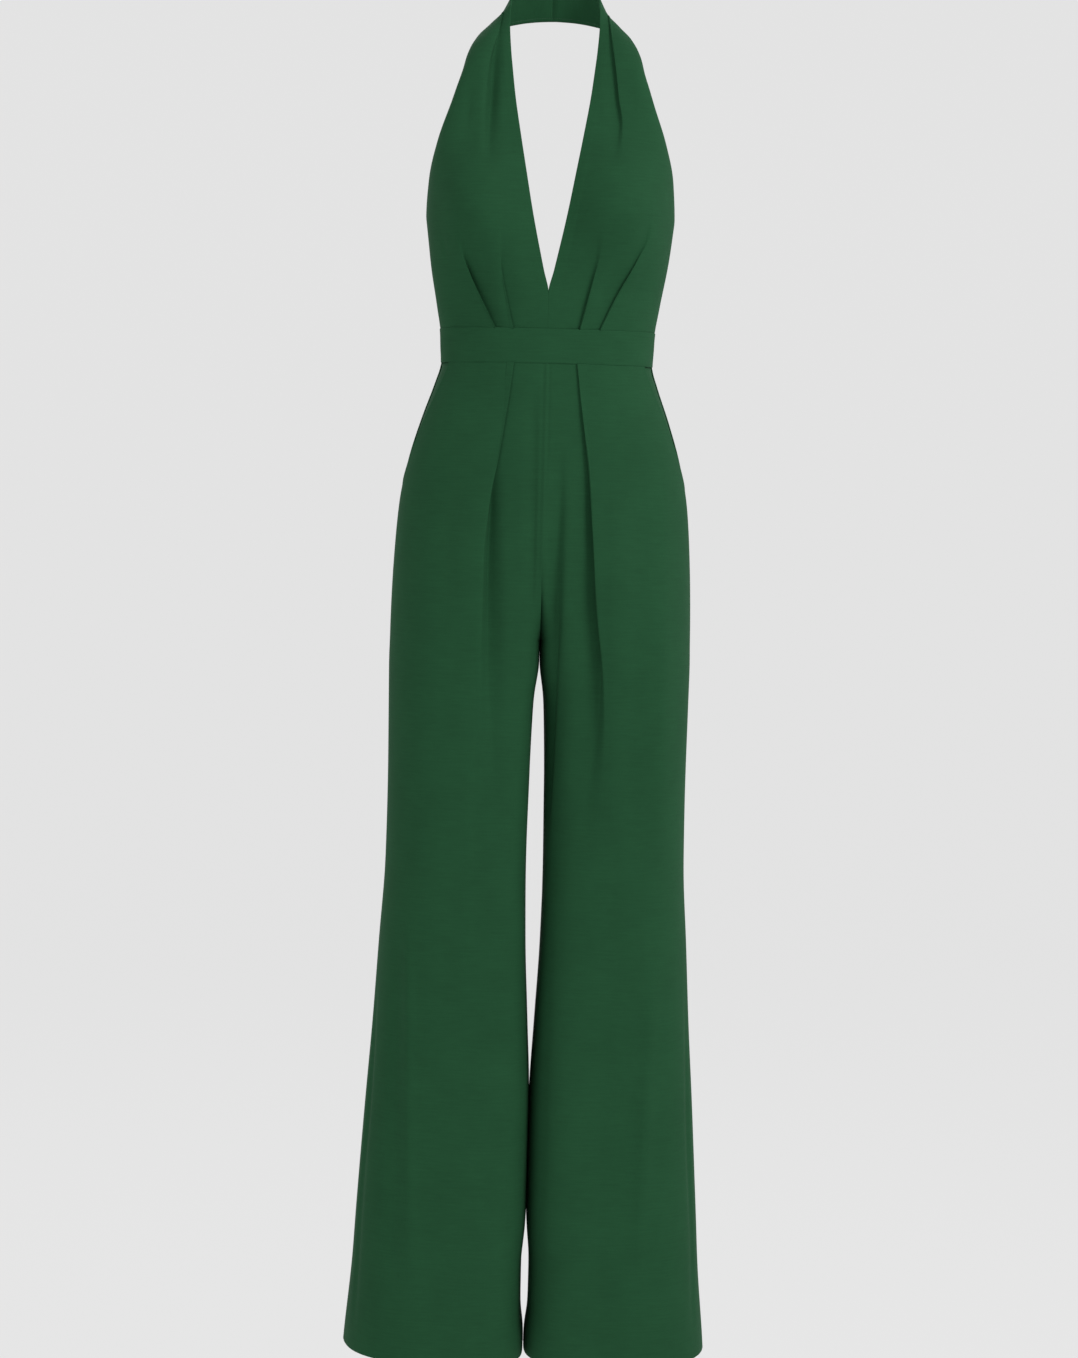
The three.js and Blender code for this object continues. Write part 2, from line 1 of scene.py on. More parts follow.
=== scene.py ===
import math

import bmesh
import bpy
import numpy as np
from mathutils import Matrix, Vector


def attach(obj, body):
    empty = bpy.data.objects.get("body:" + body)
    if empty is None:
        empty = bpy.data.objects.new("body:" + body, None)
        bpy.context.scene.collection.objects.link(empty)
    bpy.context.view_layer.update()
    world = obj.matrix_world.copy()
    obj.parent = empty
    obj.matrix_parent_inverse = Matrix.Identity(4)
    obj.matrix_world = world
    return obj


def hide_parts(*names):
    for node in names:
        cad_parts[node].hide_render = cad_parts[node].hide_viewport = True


bl_info = {
    "name": "Halter-Neck Jumpsuit",
    "version": (1, 0, 0),
    "blender": (4, 5, 0),
    "location": "View3D > Sidebar > Jumpsuit",
    "description": "Dresses a halter-neck jumpsuit with wide legs in crepe, with its seams, pleats and zip",
    "category": "Object",
}

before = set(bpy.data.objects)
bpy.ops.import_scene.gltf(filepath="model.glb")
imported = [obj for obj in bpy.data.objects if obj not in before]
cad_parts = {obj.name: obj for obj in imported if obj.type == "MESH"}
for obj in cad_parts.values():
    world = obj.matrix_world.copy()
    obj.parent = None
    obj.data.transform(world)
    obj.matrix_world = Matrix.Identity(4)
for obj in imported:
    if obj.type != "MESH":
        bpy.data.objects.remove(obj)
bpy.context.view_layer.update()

MM = 0.001
GARMENT = "garment"

# Heights in millimetres, measured from the nape
BACK_TOP = -342
UNDERARM = -250
WAIST_TOP = -373
WAIST_FOOT = -411
POCKET_FOOT = -548
ZIP_TOP = -357
ZIP_FOOT = -562
CROTCH = -714
HEM = -1526

# Other sizes in millimetres
ROUND = 2.25  # exponent of the oval sections, 2 for an ellipse
MIDDLE_Y = -84  # depth of the body's own axis
SEAM = 0.06  # gap between two panels at a seam
SEAM_ROLL = 0.42  # how far a panel's edge turns in at a seam
SOFT_ROLL = 0.3  # the same where the edge is pressed flatter
RIM = 0.42  # how far a wall's rounded rim stands past its edge, as a share of its thickness
BAND_THICK = 2.2  # of the neckband, which is folded double over its interfacing
STITCH_PROUD = 0.05  # how far the thread's middle lies off the cloth
POCKET_SLANT = 42  # how far in front of the side seam a pocket mouth starts
DART_X = 62  # of the dart in each trouser back
TAPE_HALF = 12
BODICE_RUN = 376  # length of a bodice front from the waist seam to the neckband
NECK_RUN = 86  # length of a half of the neckband from its seam to the nape
NECK_SEAM = 3.5  # how far the lap's visible edge stands to the wearer's right of the middle
NECK_LAP = 24
BUST_X, BUST_Z, BUST_OUT = 82, -236, 24

# The stage, in metres: a round floor that curves up into a wall all round, and the camera
FLOOR_RADIUS, FLOOR_CURVE, WALL_TOP, FLOOR_SIDES = 7.0, 2.5, 9.0, 72
FLOOR_GLOW = 0.697
CAMERA_PLACE = (0.0, -3.6994, -0.5111)


class Table:
    """Rows of named columns, read at any value of the first by a smooth curve that never overshoots."""

    def __init__(self, names, rows):
        self.names = names.split()
        rows = sorted(rows)
        self.at = np.array([row[0] for row in rows], float)
        self.columns = [np.array([row[i] for row in rows], float) for i in range(len(self.names))]
        self.slopes = [self._slopes(column) for column in self.columns]

    def _slopes(self, values):
        rate = np.diff(values) / np.diff(self.at)
        inner = [2 * a * b / (a + b) if a * b > 0 else 0.0 for a, b in zip(rate, rate[1:])]
        return np.array([rate[0], *inner, rate[-1]])

    def __call__(self, value):
        value = np.clip(value, self.at[0], self.at[-1])
        i = np.clip(np.searchsorted(self.at, value) - 1, 0, len(self.at) - 2)
        span = self.at[i + 1] - self.at[i]
        t = (value - self.at[i]) / span
        found = {}
        for name, v, m in zip(self.names, self.columns, self.slopes):
            found[name] = (
                (2 * t**3 - 3 * t**2 + 1) * v[i]
                + (t**3 - 2 * t**2 + t) * span * m[i]
                + (3 * t**2 - 2 * t**3) * v[i + 1]
                + (t**3 - t**2) * span * m[i + 1]
            )
        return found


# Half sections of the body and of one leg: the oval's outer and inner end in X, and its side seam, front and
# back in Y.
BODY = Table("z outer inner side front back", [
    (-250, 138.4, -138.4, -88, -176, 6),
    (-300, 132.0, -132.0, -88, -171, -2),
    (-345, 124.4, -124.4, -88, -168, -7),
    (-373, 120.2, -120.2, -88, -168, -9),
    (-392, 118.8, -118.8, -88, -169, -9),
    (-411, 118.4, -118.4, -88, -171, -7),
    (-432, 124.2, -124.2, -88, -174, -2),
    (-472, 138.4, -138.4, -87, -180, 11),
    (-517, 152.0, -152.0, -86, -184, 23),
    (-562, 161.0, -161.0, -85, -186, 31),
    (-592, 164.0, -148.0, -85, -187, 33),
    (-622, 166.0, -102.0, -84, -187, 34),
    (-652, 167.4, -52.0, -84, -186, 33),
    (-680, 168.2, -18.0, -84, -185, 30),
    (-702, 168.6, -4.0, -84, -184, 27),
    (-720, 168.8, 0.15, -84, -183, 24),
    (-745, 169.2, 0.45, -84, -181, 19),
    (-787, 168.8, 5.8, -83, -177, 12),
    (-878, 168.0, 8.6, -82, -171, 2),
    (-970, 169.0, 9.8, -81, -167, -2),
    (-1061, 174.4, 8.3, -80, -166, -1),
    (-1153, 179.6, 4.0, -80, -168, 3),
    (-1245, 186.0, 0.12, -80, -171, 8),
    (-1372, 193.8, 0.12, -80, -176, 15),
    (-1430, 197.2, 4.4, -80, -178, 18),
    (-1482, 202.0, 4.2, -80, -180, 20),
    (-1506, 204.4, 0.5, -80, -181, 21),
    (-1526, 206.0, 0.3, -80, -182, 22),
])

# The bodice front by the way up from the waist seam: inner edge, outer edge, and the crown between them.
BODICE = Table("at innerX innerY innerZ outerX outerY outerZ crown", [
    (0, 0.05, -168, -372.95, 120.2, -88, -372.95, 0),
    (37.5, 0.05, -168, -335.5, 126.1, -88, -335.5, 1.8),
    (64, 6.0, -168, -309, 130.6, -88, -309, 3),
    (123, 18.6, -167, -250, 138.4, -88, -250, 3),
    (168, 26.8, -158, -205, 135.6, -101, -207, 2),
    (213, 34.8, -140, -160, 126.0, -109, -164, 3),
    (257, 42.0, -118, -116, 111.6, -105, -121, 6),
    (298, 46.4, -98, -80, 100.6, -92, -84, 8),
    (314, 48.0, -90, -66, 97.2, -84.5, -69.5, 8),
    (330, 49.2, -80, -52, 92.4, -76, -56.5, 7),
    (341, 50.0, -73, -42, 88.4, -67, -48.6, 5.6),
    (352, 50.6, -66, -32, 84.2, -58, -41.4, 4),
    (376, 50.8, -51, -9, 75.5, -38, -30.0, 0),
])

# The neckband from its seam with the bodice to the nape: upper and lower edge of its outer face.
NECK = Table("at upperX upperY upperZ lowerX lowerY lowerZ", [
    (0, 50.8, -50.8, -8.6, 75.4, -37.6, -29.8),
    (18, 50.6, -34, 3, 68.6, -19.0, -28.4),
    (36, 45.0, -17.4, 11.0, 55.4, -4.8, -24.9),
    (56, 30.0, -5.8, 16.2, 37.0, 3.2, -20.3),
    (72, 14.2, -2.6, 18.0, 18.0, 6.2, -17.4),
    (86, 0, -2.2, 18.4, 0, 6.7, -16.4),
])

# Trouser pleats: X of the fold's edge, how far the cloth laps under it (negative once it opens into a slope),
# half the step between its layers, and how deep and wide the trough beside the fold is.
TROUSER_PLEAT = {
    "left": Table("z x lap lift dip reach", [
        (-411, 33.0, 13, 0.5, 0.1, 8),
        (-455, 38.6, 13, 1.0, 0.6, 9),
        (-533, 49.3, 11, 1.7, 2.2, 11),
        (-595, 55.0, 8, 2.7, 4.2, 13),
        (-678, 62.4, 4, 3.4, 5.2, 16),
        (-749, 70.6, -3, 3.2, 4.4, 18),
        (-818, 74.4, -11, 2.2, 3.0, 21),
        (-883, 75.0, -20, 1.1, 1.8, 24),
        (-980, 74.0, -30, 0.2, 0.5, 26),
        (-1060, 73.0, -34, 0.0, 0.0, 26),
    ]),
    "right": Table("z x lap lift dip reach", [
        (-411, 35.6, 8, 0.3, 0.0, 8),
        (-455, 40.8, 7, 0.6, 0.4, 9),
        (-518, 50.6, 3, 1.0, 1.2, 11),
        (-550, 57.0, 1, 1.5, 4.0, 9),
        (-580, 61.0, -2, 2.2, 6.2, 10),
        (-619, 63.8, -4, 2.8, 6.4, 11),
        (-681, 65.0, -7, 2.8, 4.8, 13),
        (-752, 66.0, -11, 2.2, 2.8, 16),
        (-850, 66.0, -20, 1.0, 1.0, 22),
        (-950, 65.0, -34, 0.0, 0.0, 26),
    ]),
}

# Bodice pleats, by the way up: the inner one runs on into the fold under the neckband.
BODICE_PLEATS = {
    "left": [
        Table("at x lap lift dip reach", [
            (0, 35.0, 6, 0.9, 0.8, 6), (30, 43.0, 4, 1.3, 1.9, 8), (58, 50.0, 0, 1.0, 1.5, 9),
            (84, 57.0, -6, 0.5, 0.7, 13), (122, 64.0, -13, 0.0, 0.0, 15), (176, 76.0, -12, 0.0, 0.0, 12),
            (200, 77.5, -8, 0.7, 1.2, 11), (226, 77.6, -4, 1.2, 2.2, 9), (256, 73.2, -1, 1.4, 2.6, 8),
            (300, 68.6, 2, 1.5, 2.4, 7),
            (338, 63.4, 3, 1.1, 1.4, 6), (376, 59.6, 2, 0.3, 0.2, 5),
        ]),
        Table("at x lap lift dip reach", [
            (0, 57.0, 6, 0.9, 0.6, 6), (40, 76.0, 4, 1.2, 1.5, 8), (76, 96.0, -1, 0.9, 1.2, 9),
            (104, 110.0, -5, 0.5, 0.6, 10), (130, 114.0, -14, 0.0, 0.0, 12), (205, 108.0, -12, 0.0, 0.0, 12),
            (298, 90.0, -8, 0.0, 0.0, 10), (376, 67.0, -2, 0.0, 0.0, 5),
        ]),
    ],
    "right": [
        Table("at x lap lift dip reach", [
            (0, 37.0, 6, 0.7, 0.3, 6), (40, 47.0, 3, 0.8, 0.7, 8), (73, 54.0, -2, 0.8, 0.8, 9),
            (100, 58.0, -7, 0.6, 0.6, 12), (126, 62.0, -12, 0.0, 0.0, 14), (164, 72.0, -12, 0.0, 0.0, 12),
            (204, 76.0, -8, 0.8, 1.8, 10), (256, 75.6, -7, 1.4, 3.0, 9), (300, 72.4, -5, 1.5, 3.0, 8),
            (338, 64.0, -2, 1.2, 2.0, 7), (376, 58.6, 2, 0.3, 0.2, 5),
        ]),
        Table("at x lap lift dip reach", [
            (0, 57.0, 7, 1.0, 1.0, 6), (25, 70.0, 6, 1.4, 2.4, 8), (56, 85.5, 2, 1.5, 2.8, 9),
            (82, 97.0, -4, 0.9, 1.4, 12), (116, 108.0, -12, 0.0, 0.0, 14), (205, 104.0, -12, 0.0, 0.0, 12),
            (298, 88.0, -8, 0.0, 0.0, 10), (376, 67.0, -2, 0.0, 0.0, 5),
        ]),
    ],
}

# Soft folds: X and Z of the two ends, how far each side of the line they reach, and how far they stand out.
LEG_FRONT_FOLDS = {
    "left": [
        (18, -500, 15, -930, 13, 5, -5.6),
        (21, -545, 13, -780, 6, 5, -2.5),
        (174, -1110, 193, -1500, 8, 6, -2.8),
        (33, -540, 30, -940, 10, 14, 1.4),
        (28, -940, 26, -1560, 10, 20, 1.4),
        (98, -470, 112, -900, 30, 34, 1.2),
        (76, -500, 86, -960, 7, 11, 1.3),
        (104, -520, 108, -980, 10, 12, -1.5),
        (134, -480, 138, -1000, 12, 14, 1.4),
        (134, -1080, 126, -1420, 7, 10, 2.9),
        (116, -1080, 106, -1430, 14, 12, -2.0),
        (40, -1000, 48, -1500, 22, 26, 2.2),
        (82, -1100, 84, -1540, 16, 16, -1.8),
    ],
    "right": [
        (14, -440, 9, -690, 6, 8, -2.6),
        (24, -470, 30, -700, 8, 12, 0.8),
        (71, -560, 68, -800, 7, 12, 1.3),
        (104, -480, 100, -860, 14, 16, -2.0),
        (80, -720, 76, -1180, 10, 15, 1.7),
        (42, -540, 36, -900, 9, 9, 1.1),
        (100, -620, 110, -1000, 30, 30, 1.6),
        (139, -1030, 128, -1420, 7, 7, 2.8),
        (175, -1110, 193, -1500, 8, 6, -3.0),
        (150, -1040, 148, -1450, 8, 12, -2.4),
        (60, -980, 66, -1500, 26, 28, 2.2),
        (108, -1140, 108, -1540, 16, 14, -1.5),
    ],
}

# How square the fronts are towards the crotch and the inseam, as the exponent of the oval there.
INSEAM_ROUND = Table("z left right", [
    (-540, 2.25, 2.25),
    (-620, 2.7, 3.0),
    (-680, 3.8, 4.8),
    (-720, 4.6, 6.4),
    (-760, 3.8, 6.6),
    (-820, 2.8, 6.5),
    (-1000, 2.9, 6.4),
    (-1200, 3.4, 5.8),
    (-1526, 3.4, 4.8),
])

# Soft folds of the trouser backs and of the bodice, in the same columns as those of the trouser fronts.
LEG_BACK_FOLDS = {
    "left": [
        (64, -590, 50, -1180, 20, 26, 3.2),
        (30, -660, 26, -1080, 10, 14, -2.4),
        (112, -640, 104, -1300, 18, 20, -2.4),
        (138, -760, 140, -1480, 16, 14, 2.2),
        (66, -1000, 84, -1520, 24, 24, -2.4),
        (30, -1120, 36, -1520, 18, 20, 2.0),
    ],
    "right": [
        (58, -600, 56, -1120, 22, 24, 3.0),
        (28, -640, 30, -1150, 10, 15, -2.2),
        (104, -620, 112, -1260, 18, 22, -2.6),
        (144, -740, 136, -1450, 14, 16, 2.0),
        (78, -1050, 72, -1520, 22, 26, -2.6),
        (34, -1080, 34, -1510, 18, 18, 1.8),
    ],
}
BODICE_FOLDS = {
    "left": [
        (92, -60, 96, -170, 7, 9, 0.9),
        (60, -300, 47, -366, 5, 6, 0.9),
        (100, -290, 72, -368, 8, 8, 1.0),
        (52, -60, 58, -150, 5, 7, 0.6),
    ],
    "right": [
        (92, -110, 94, -165, 4, 5, -0.9),
        (60, -14, 73, -205, 6, 5, -3.2),
        (79, -60, 79, -190, 5, 8, 1.5),
        (118, -270, 112, -302, 3, 4, -0.7),
        (70, -255, 47, -368, 7, 8, 1.0),
        (110, -300, 80, -368, 9, 9, 0.9),
    ],
}


def ease(low, high, value):
    t = np.clip((value - low) / (high - low), 0, 1)
    return t * t * (3 - 2 * t)


def fade(distance):
    """1 at the middle, falling smoothly to 0 at distance 1."""
    return (1 - np.clip(np.abs(distance), 0, 1) ** 2) ** 2


def spread(low, high, intervals, fine_low=0, fine_high=0):
    """Values from low to high, with extra ones close to either end, where an edge is rolled."""
    values = list(np.linspace(low, high, intervals + 1))
    near = [0.5, 1.2, 2.2]
    if fine_low:
        values += [low + math.copysign(d, high - low) for d in near]
    if fine_high:
        values += [high - math.copysign(d, high - low) for d in near]
    values = sorted(values, reverse=high < low)
    return np.array(values)


class Curve:
    """One row's plain outline, read by its length."""

    def __init__(self, points, outward):
        self.points = points
        steps = np.linalg.norm(np.diff(points, axis=0), axis=1)
        self.reach = np.concatenate([[0], np.cumsum(steps)])
        self.length = self.reach[-1]
        self.outward = outward

    def at(self, s):
        return np.stack([np.interp(s, self.reach, self.points[:, k]) for k in range(3)], axis=-1)

    def where(self, x):
        return float(np.interp(x, np.maximum.accumulate(self.points[:, 0]), self.reach))

    def normals(self, s):
        along = self.at(np.clip(s + 2, 0, self.length)) - self.at(np.clip(s - 2, 0, self.length))
        normal = np.stack([along[:, 1], -along[:, 0], np.zeros(len(along))], axis=-1) * self.outward
        return normal / np.maximum(np.linalg.norm(normal, axis=1, keepdims=True), 1e-9)

    def lifted(self, s, out):
        row = self.at(s) + self.normals(s) * out[:, None]
        if s[0] < 0.01 and self.points[0, 0] < SEAM:
            row[0, 0] = self.points[0, 0]
        return row


def half_section(z, front, proud=0.0, inner_round=ROUND):
    """The outer face of half a section, from the centre seam or the inseam out to the side seam."""
    sec = BODY(z)
    middle = (sec["outer"] + sec["inner"]) / 2
    half = (sec["outer"] - sec["inner"]) / 2 + proud
    deep = (sec["side"] - sec["front"] if front else sec["back"] - sec["side"]) + proud
    toward = -1 if front else 1
    angle = np.linspace(math.pi, 0, 260)
    c, s = np.cos(angle), np.abs(np.sin(angle))
    power = 2 / np.where(c < 0, inner_round, ROUND)
    x = middle + half * np.sign(c) * np.abs(c) ** power
    y = sec["side"] + toward * deep * s**power
    kept = x > SEAM / 2
    first_y = np.interp(SEAM / 2, x, y) if not kept[0] else sec["side"]
    first_x = SEAM / 2 if not kept[0] else x[0]
    x = np.concatenate([[first_x], x[kept][1:] if kept[0] else x[kept]])
    y = np.concatenate([[first_y], y[kept][1:] if kept[0] else y[kept]])
    y = toward * np.maximum(toward * y, toward * sec["side"] + SEAM / 2)
    return Curve(np.stack([x, y, np.full(len(x), z)], axis=-1), 1 if front else -1)


def bodice_curve(at):
    """One row of the bodice front, from its inner edge to its outer edge."""
    e = BODICE(at)
    ahead, behind = BODICE(min(at + 4, BODICE_RUN)), BODICE(max(at - 4, 0))
    outer_x = float(BODY(e["outerZ"])["outer"]) if e["outerZ"] <= UNDERARM else e["outerX"]
    outer_y = e["outerY"] - SEAM / 2
    up = np.array([sum(ahead[e + k] - behind[e + k] for e in ("inner", "outer")) for k in "XYZ"])
    across = np.array([outer_x - e["innerX"], outer_y - e["innerY"], e["outerZ"] - e["innerZ"]])
    outward = np.cross(across, up)
    outward = outward / np.linalg.norm(outward)
    straight = float(ease(270, 366, at))
    t = np.linspace(0, 1, 160)
    angle = t * math.pi / 2
    across_x = np.sin(angle) ** (2 / ROUND) * (1 - straight) + t * straight
    across_y = (1 - np.cos(angle) ** (2 / ROUND)) * (1 - straight) + t * straight
    x = e["innerX"] + (outer_x - e["innerX"]) * across_x
    y = e["innerY"] + (outer_y - e["innerY"]) * across_y
    z = e["innerZ"] + (e["outerZ"] - e["innerZ"]) * t
    cup = fade((x - BUST_X) / 74.8) * fade((z - BUST_Z) / 98.6) * (1 - t**5)
    points = np.stack([x, y - BUST_OUT * cup, z], axis=-1)
    return Curve(points + outward * (e["crown"] * np.sin(math.pi * t))[:, None], 1)


def fold_relief(curve, s, z, folds):
    """How far the soft folds lift each point of a row."""
    out = np.zeros(len(s))
    for top_x, top_z, foot_x, foot_z, inside, outside, high in folds:
        t = (top_z - z) / (top_z - foot_z)
        along = np.clip(4 * t * (1 - t), 0, 1) ** 0.7 * (1 + 0.18 * np.sin(9 * t + top_x))
        if not along.max() > 0:
            continue
        line = curve.where(top_x + (foot_x - top_x) * float(np.clip(np.mean(t), 0, 1)))
        away = s - line
        wide = np.where(away < 0, inside, outside)
        out += high * along * np.exp(-((away / wide) ** 2))
    return out


def unevenness(s, z, seed, size):
    """The slight unevenness of cloth that hangs, longer down the cloth than across it."""
    waves = ((0.031, 0.0061, 1.0), (0.053, -0.0047, 0.7), (0.083, 0.0122, 0.45), (0.019, 0.0093, 0.8))
    total = 0
    for k, (across, down, share) in enumerate(waves):
        total = total + share * np.sin(across * s + down * z * 2.2 + seed * 1.7 + k * 2.1)
    return size * total / 2


def edge_roll(distance, wide, deep):
    """A seamed edge turns inwards over its last few millimetres."""
    return -deep * np.clip(1 - distance / wide, 0, 1) ** 2


def seam_ridge(distance):
    """Two pressed edges stand up a little where they meet, with a shallow valley beside them."""
    return 0.3 * np.exp(-((distance / 1.1) ** 2)) - 0.45 * np.exp(-(((distance - 3.4) / 1.9) ** 2))


def allowance(distance):
    """The pressed-open seam allowance shows through as a faint step a little way from the seam."""
    return 0.28 * ease(11.5, 9, distance)


def crotch_corner(curve, z):
    """Where the cloth turns from a leg's front or back to its inseam, or 9 mm off the centre seam."""
    return curve.where(max(0.0, float(BODY(z)["inner"])) + 9)


def pleated_row(start, end, pleats, counts, fade_over, fine_start, fine_end, corner=0.0):
    """Lengths and heights across a row with folded pleats: an under layer, the fold, and a layer on top."""
    lengths, heights = [], []
    begin = start

    def others(s, mine):
        total = np.zeros(len(s))
        for p in pleats:
            if p is not mine:
                sign = np.where(s < p["s"], -1, 1)
                total += sign * p["lift"] * fade((s - p["s"]) / fade_over)
        return total

    for k, p in enumerate(pleats):
        under = p["s"] + p["lap"]
        s = spread(max(begin, corner), under, counts[k], fine_low=fine_start and k == 0 and not corner)
        if k == 0 and corner:
            s = np.concatenate([spread(start, corner, 16, fine_low=fine_start)[:-1], s])
        gap = np.maximum(p["s"] - s, 0)
        low = -p["lift"] * np.where(s > p["s"], 1, fade(gap / fade_over))
        low -= p["dip"] * np.exp(-(((s - p["s"] - min(p["lap"], 0)) / p["reach"]) ** 2))
        lengths.append(s)
        heights.append(low + others(s, p))
        foot = float(low[-1])
        turn = 1.6 * p["lift"] * float(ease(-6, 2, p["lap"])) + 0.34 * max(0.0, -float(p["lap"])) + 0.15
        u = np.linspace(0, 1, 13)[1:-1]
        corners = (under, under + turn, p["s"] - turn, p["s"])
        blend = ((1 - u) ** 3, 3 * u * (1 - u) ** 2, 3 * u * u * (1 - u), u**3)
        bend = sum(b * c for b, c in zip(blend, corners))
        lengths.append(bend)
        rise = u * u * (3 - 2 * u)
        heights.append(foot + (p["lift"] - foot) * rise + others(bend, p))
        begin = p["s"]
    last = pleats[-1]
    s = spread(begin, end, counts[-1], fine_high=fine_end)
    lengths.append(s)
    heights.append(last["lift"] * fade((s - last["s"]) / fade_over) + others(s, last))
    return np.concatenate(lengths), np.concatenate(heights)


def pocket_mouth(z):
    """How far in front of the side seam the trouser front's edge lies."""
    down = max(0.0, (WAIST_FOOT - z) / (WAIST_FOOT - POCKET_FOOT))
    return 0.0 if down > 1 else POCKET_SLANT * math.sqrt(1 - down)


def relaxed(grid, passes, share=1.0):
    """Evens out the way down each column, with the first and last rows kept."""
    share = np.broadcast_to(share, len(grid))[1:-1, None, None]
    for _ in range(passes):
        grid[1:-1] += share * (grid[:-2] - 2 * grid[1:-1] + grid[2:]) / 4
    return grid


def leg_heights():
    return np.concatenate([
        WAIST_FOOT - 0.05 - np.array([0, 0.5, 1.2, 2.2]),
        np.linspace(-415, -760, 118),
        np.linspace(-766, HEM + 6, 112),
        HEM + np.array([3.6, 2.0, 0.9, 0]),
    ])


def leg_front_grid(side):
    rows = []
    heights = leg_heights()
    for z in heights:
        curve = half_section(z, True, inner_round=float(INSEAM_ROUND(z)[side]))
        mouth = pocket_mouth(z)
        end = curve.length - mouth
        p = {k: float(v) for k, v in TROUSER_PLEAT[side](z).items()}
        p["s"] = curve.where(p["x"])
        s, out = pleated_row(0, end, [p], (24, 60), 60, True, True, crotch_corner(curve, z))
        x = curve.at(s)[:, 0]
        free = ease(0, 10, x) * ease(0, 6, s)
        out = out + fold_relief(curve, s, np.full(len(s), z), LEG_FRONT_FOLDS[side]) * free
        hang = float(ease(-440, -620, z))
        calm = np.minimum(1, x / 20) * ease(0, 6, s) * np.minimum(1, (end - s) / 30)
        out = out + unevenness(x, z, 1 if side == "left" else 4, 1.0) * hang * calm
        out = out + edge_roll(s, 2.0, SEAM_ROLL) * float(ease(-750, -800, z))
        out = out + seam_ridge(s) * float(ease(-700, -640, z))
        if mouth > 0.5:
            out = out + 0.9 * np.exp(-((end - s) / 4)) * min(1, mouth / 8)
        else:
            out = out + edge_roll(end - s, 2.0, SEAM_ROLL) + allowance(end - s)
        out = out + edge_roll(WAIST_FOOT - z, 2.2, SOFT_ROLL) + 0.45 * float(ease(-450, -412, z))
        rows.append(curve.lifted(s, out))
    away_from_crotch = ease(20, 34, np.abs(heights - CROTCH))
    return relaxed(np.array(rows), 3, away_from_crotch), heights


def leg_back_grid(side):
    rows = []
    heights = leg_heights()
    for z in heights:
        curve = half_section(z, False)
        corner = crotch_corner(curve, z)
        s = np.concatenate([spread(0, corner, 16, True)[:-1], spread(corner, curve.length, 46, False, True)])
        out = fold_relief(curve, s, np.full(len(s), z), LEG_BACK_FOLDS[side]) * ease(0, 10, s)
        hang = float(ease(-440, -640, z))
        calm = np.minimum(1, s / 20) * np.minimum(1, (curve.length - s) / 20)
        out = out + unevenness(s, z, 7 if side == "left" else 11, 0.9) * hang * calm
        dart = fade((curve.where(DART_X) - s) / 5) * float(ease(-520, -430, z)) * 0.7
        out = out - dart + edge_roll(s, 2.0, SEAM_ROLL) + edge_roll(curve.length - s, 2.0, SEAM_ROLL)
        out = out + allowance(curve.length - s) + allowance(s) * float(ease(-690, -720, z))
        out = out + edge_roll(WAIST_FOOT - z, 2.2, SEAM_ROLL)
        rows.append(curve.lifted(s, out))
    away_from_crotch = ease(20, 34, np.abs(heights - CROTCH))
    return relaxed(np.array(rows), 3, away_from_crotch), heights


def bodice_front_grid(side):
    rows = []
    ways = np.concatenate([[0, 0.5, 1.2, 2.2], np.linspace(4, BODICE_RUN - 2, 150), [BODICE_RUN]])
    for at in ways:
        curve = bodice_curve(at)
        pleats = []
        for table in BODICE_PLEATS[side]:
            p = {k: float(v) for k, v in table(at).items()}
            p["s"] = curve.where(p["x"])
            pleats.append(p)
        s, out = pleated_row(0, curve.length, pleats, (20, 8, 30), 22, True, True)
        z = curve.at(s)[:, 2]
        out = out + fold_relief(curve, s, z, BODICE_FOLDS[side])
        calm = np.minimum(1, s / 12) * np.minimum(1, (curve.length - s) / 12)
        out = out + unevenness(s * 1.6, z * 1.5, 3 if side == "left" else 8, 0.45) * calm
        seamed = float(ease(44, 36, at))
        out = out + seamed * edge_roll(s, 2.0, 0.12)
        seamed = float(ease(126, 120, at))
        out = out + seamed * edge_roll(curve.length - s, 2.0, SEAM_ROLL)
        out = out + edge_roll(at, 2.2, SOFT_ROLL)
        out = out + (allowance(s) + allowance(curve.length - s)) * float(ease(4, 20, at) * ease(372, 340, at))
        rows.append(curve.lifted(s, out))
    return relaxed(np.array(rows), 2)


def bodice_back_grid():
    rows = []
    foot = WAIST_TOP + 0.05
    for up in spread(0, 1, 46):
        row = []
        for u in spread(0, 1, 44):
            top = BACK_TOP + (UNDERARM - BACK_TOP) * u**2.4
            z = foot + (top - foot) * up
            curve = half_section(z, False)
            notch = 1.25 * float(ease(BACK_TOP - 16, BACK_TOP - 12, z))
            s = notch + (curve.length - notch) * u
            out = 0.5 * math.sin(s * 0.06 + z * 0.03) * math.sin(math.pi * u)
            out += float(edge_roll(s, 2.0, SEAM_ROLL) + edge_roll(curve.length - s, 2.0, SEAM_ROLL))
            out += float(edge_roll(z - foot, 2.2, SEAM_ROLL))
            row.append(curve.lifted(np.array([s]), np.array([out]))[0])
        rows.append(row)
    return np.array(rows)


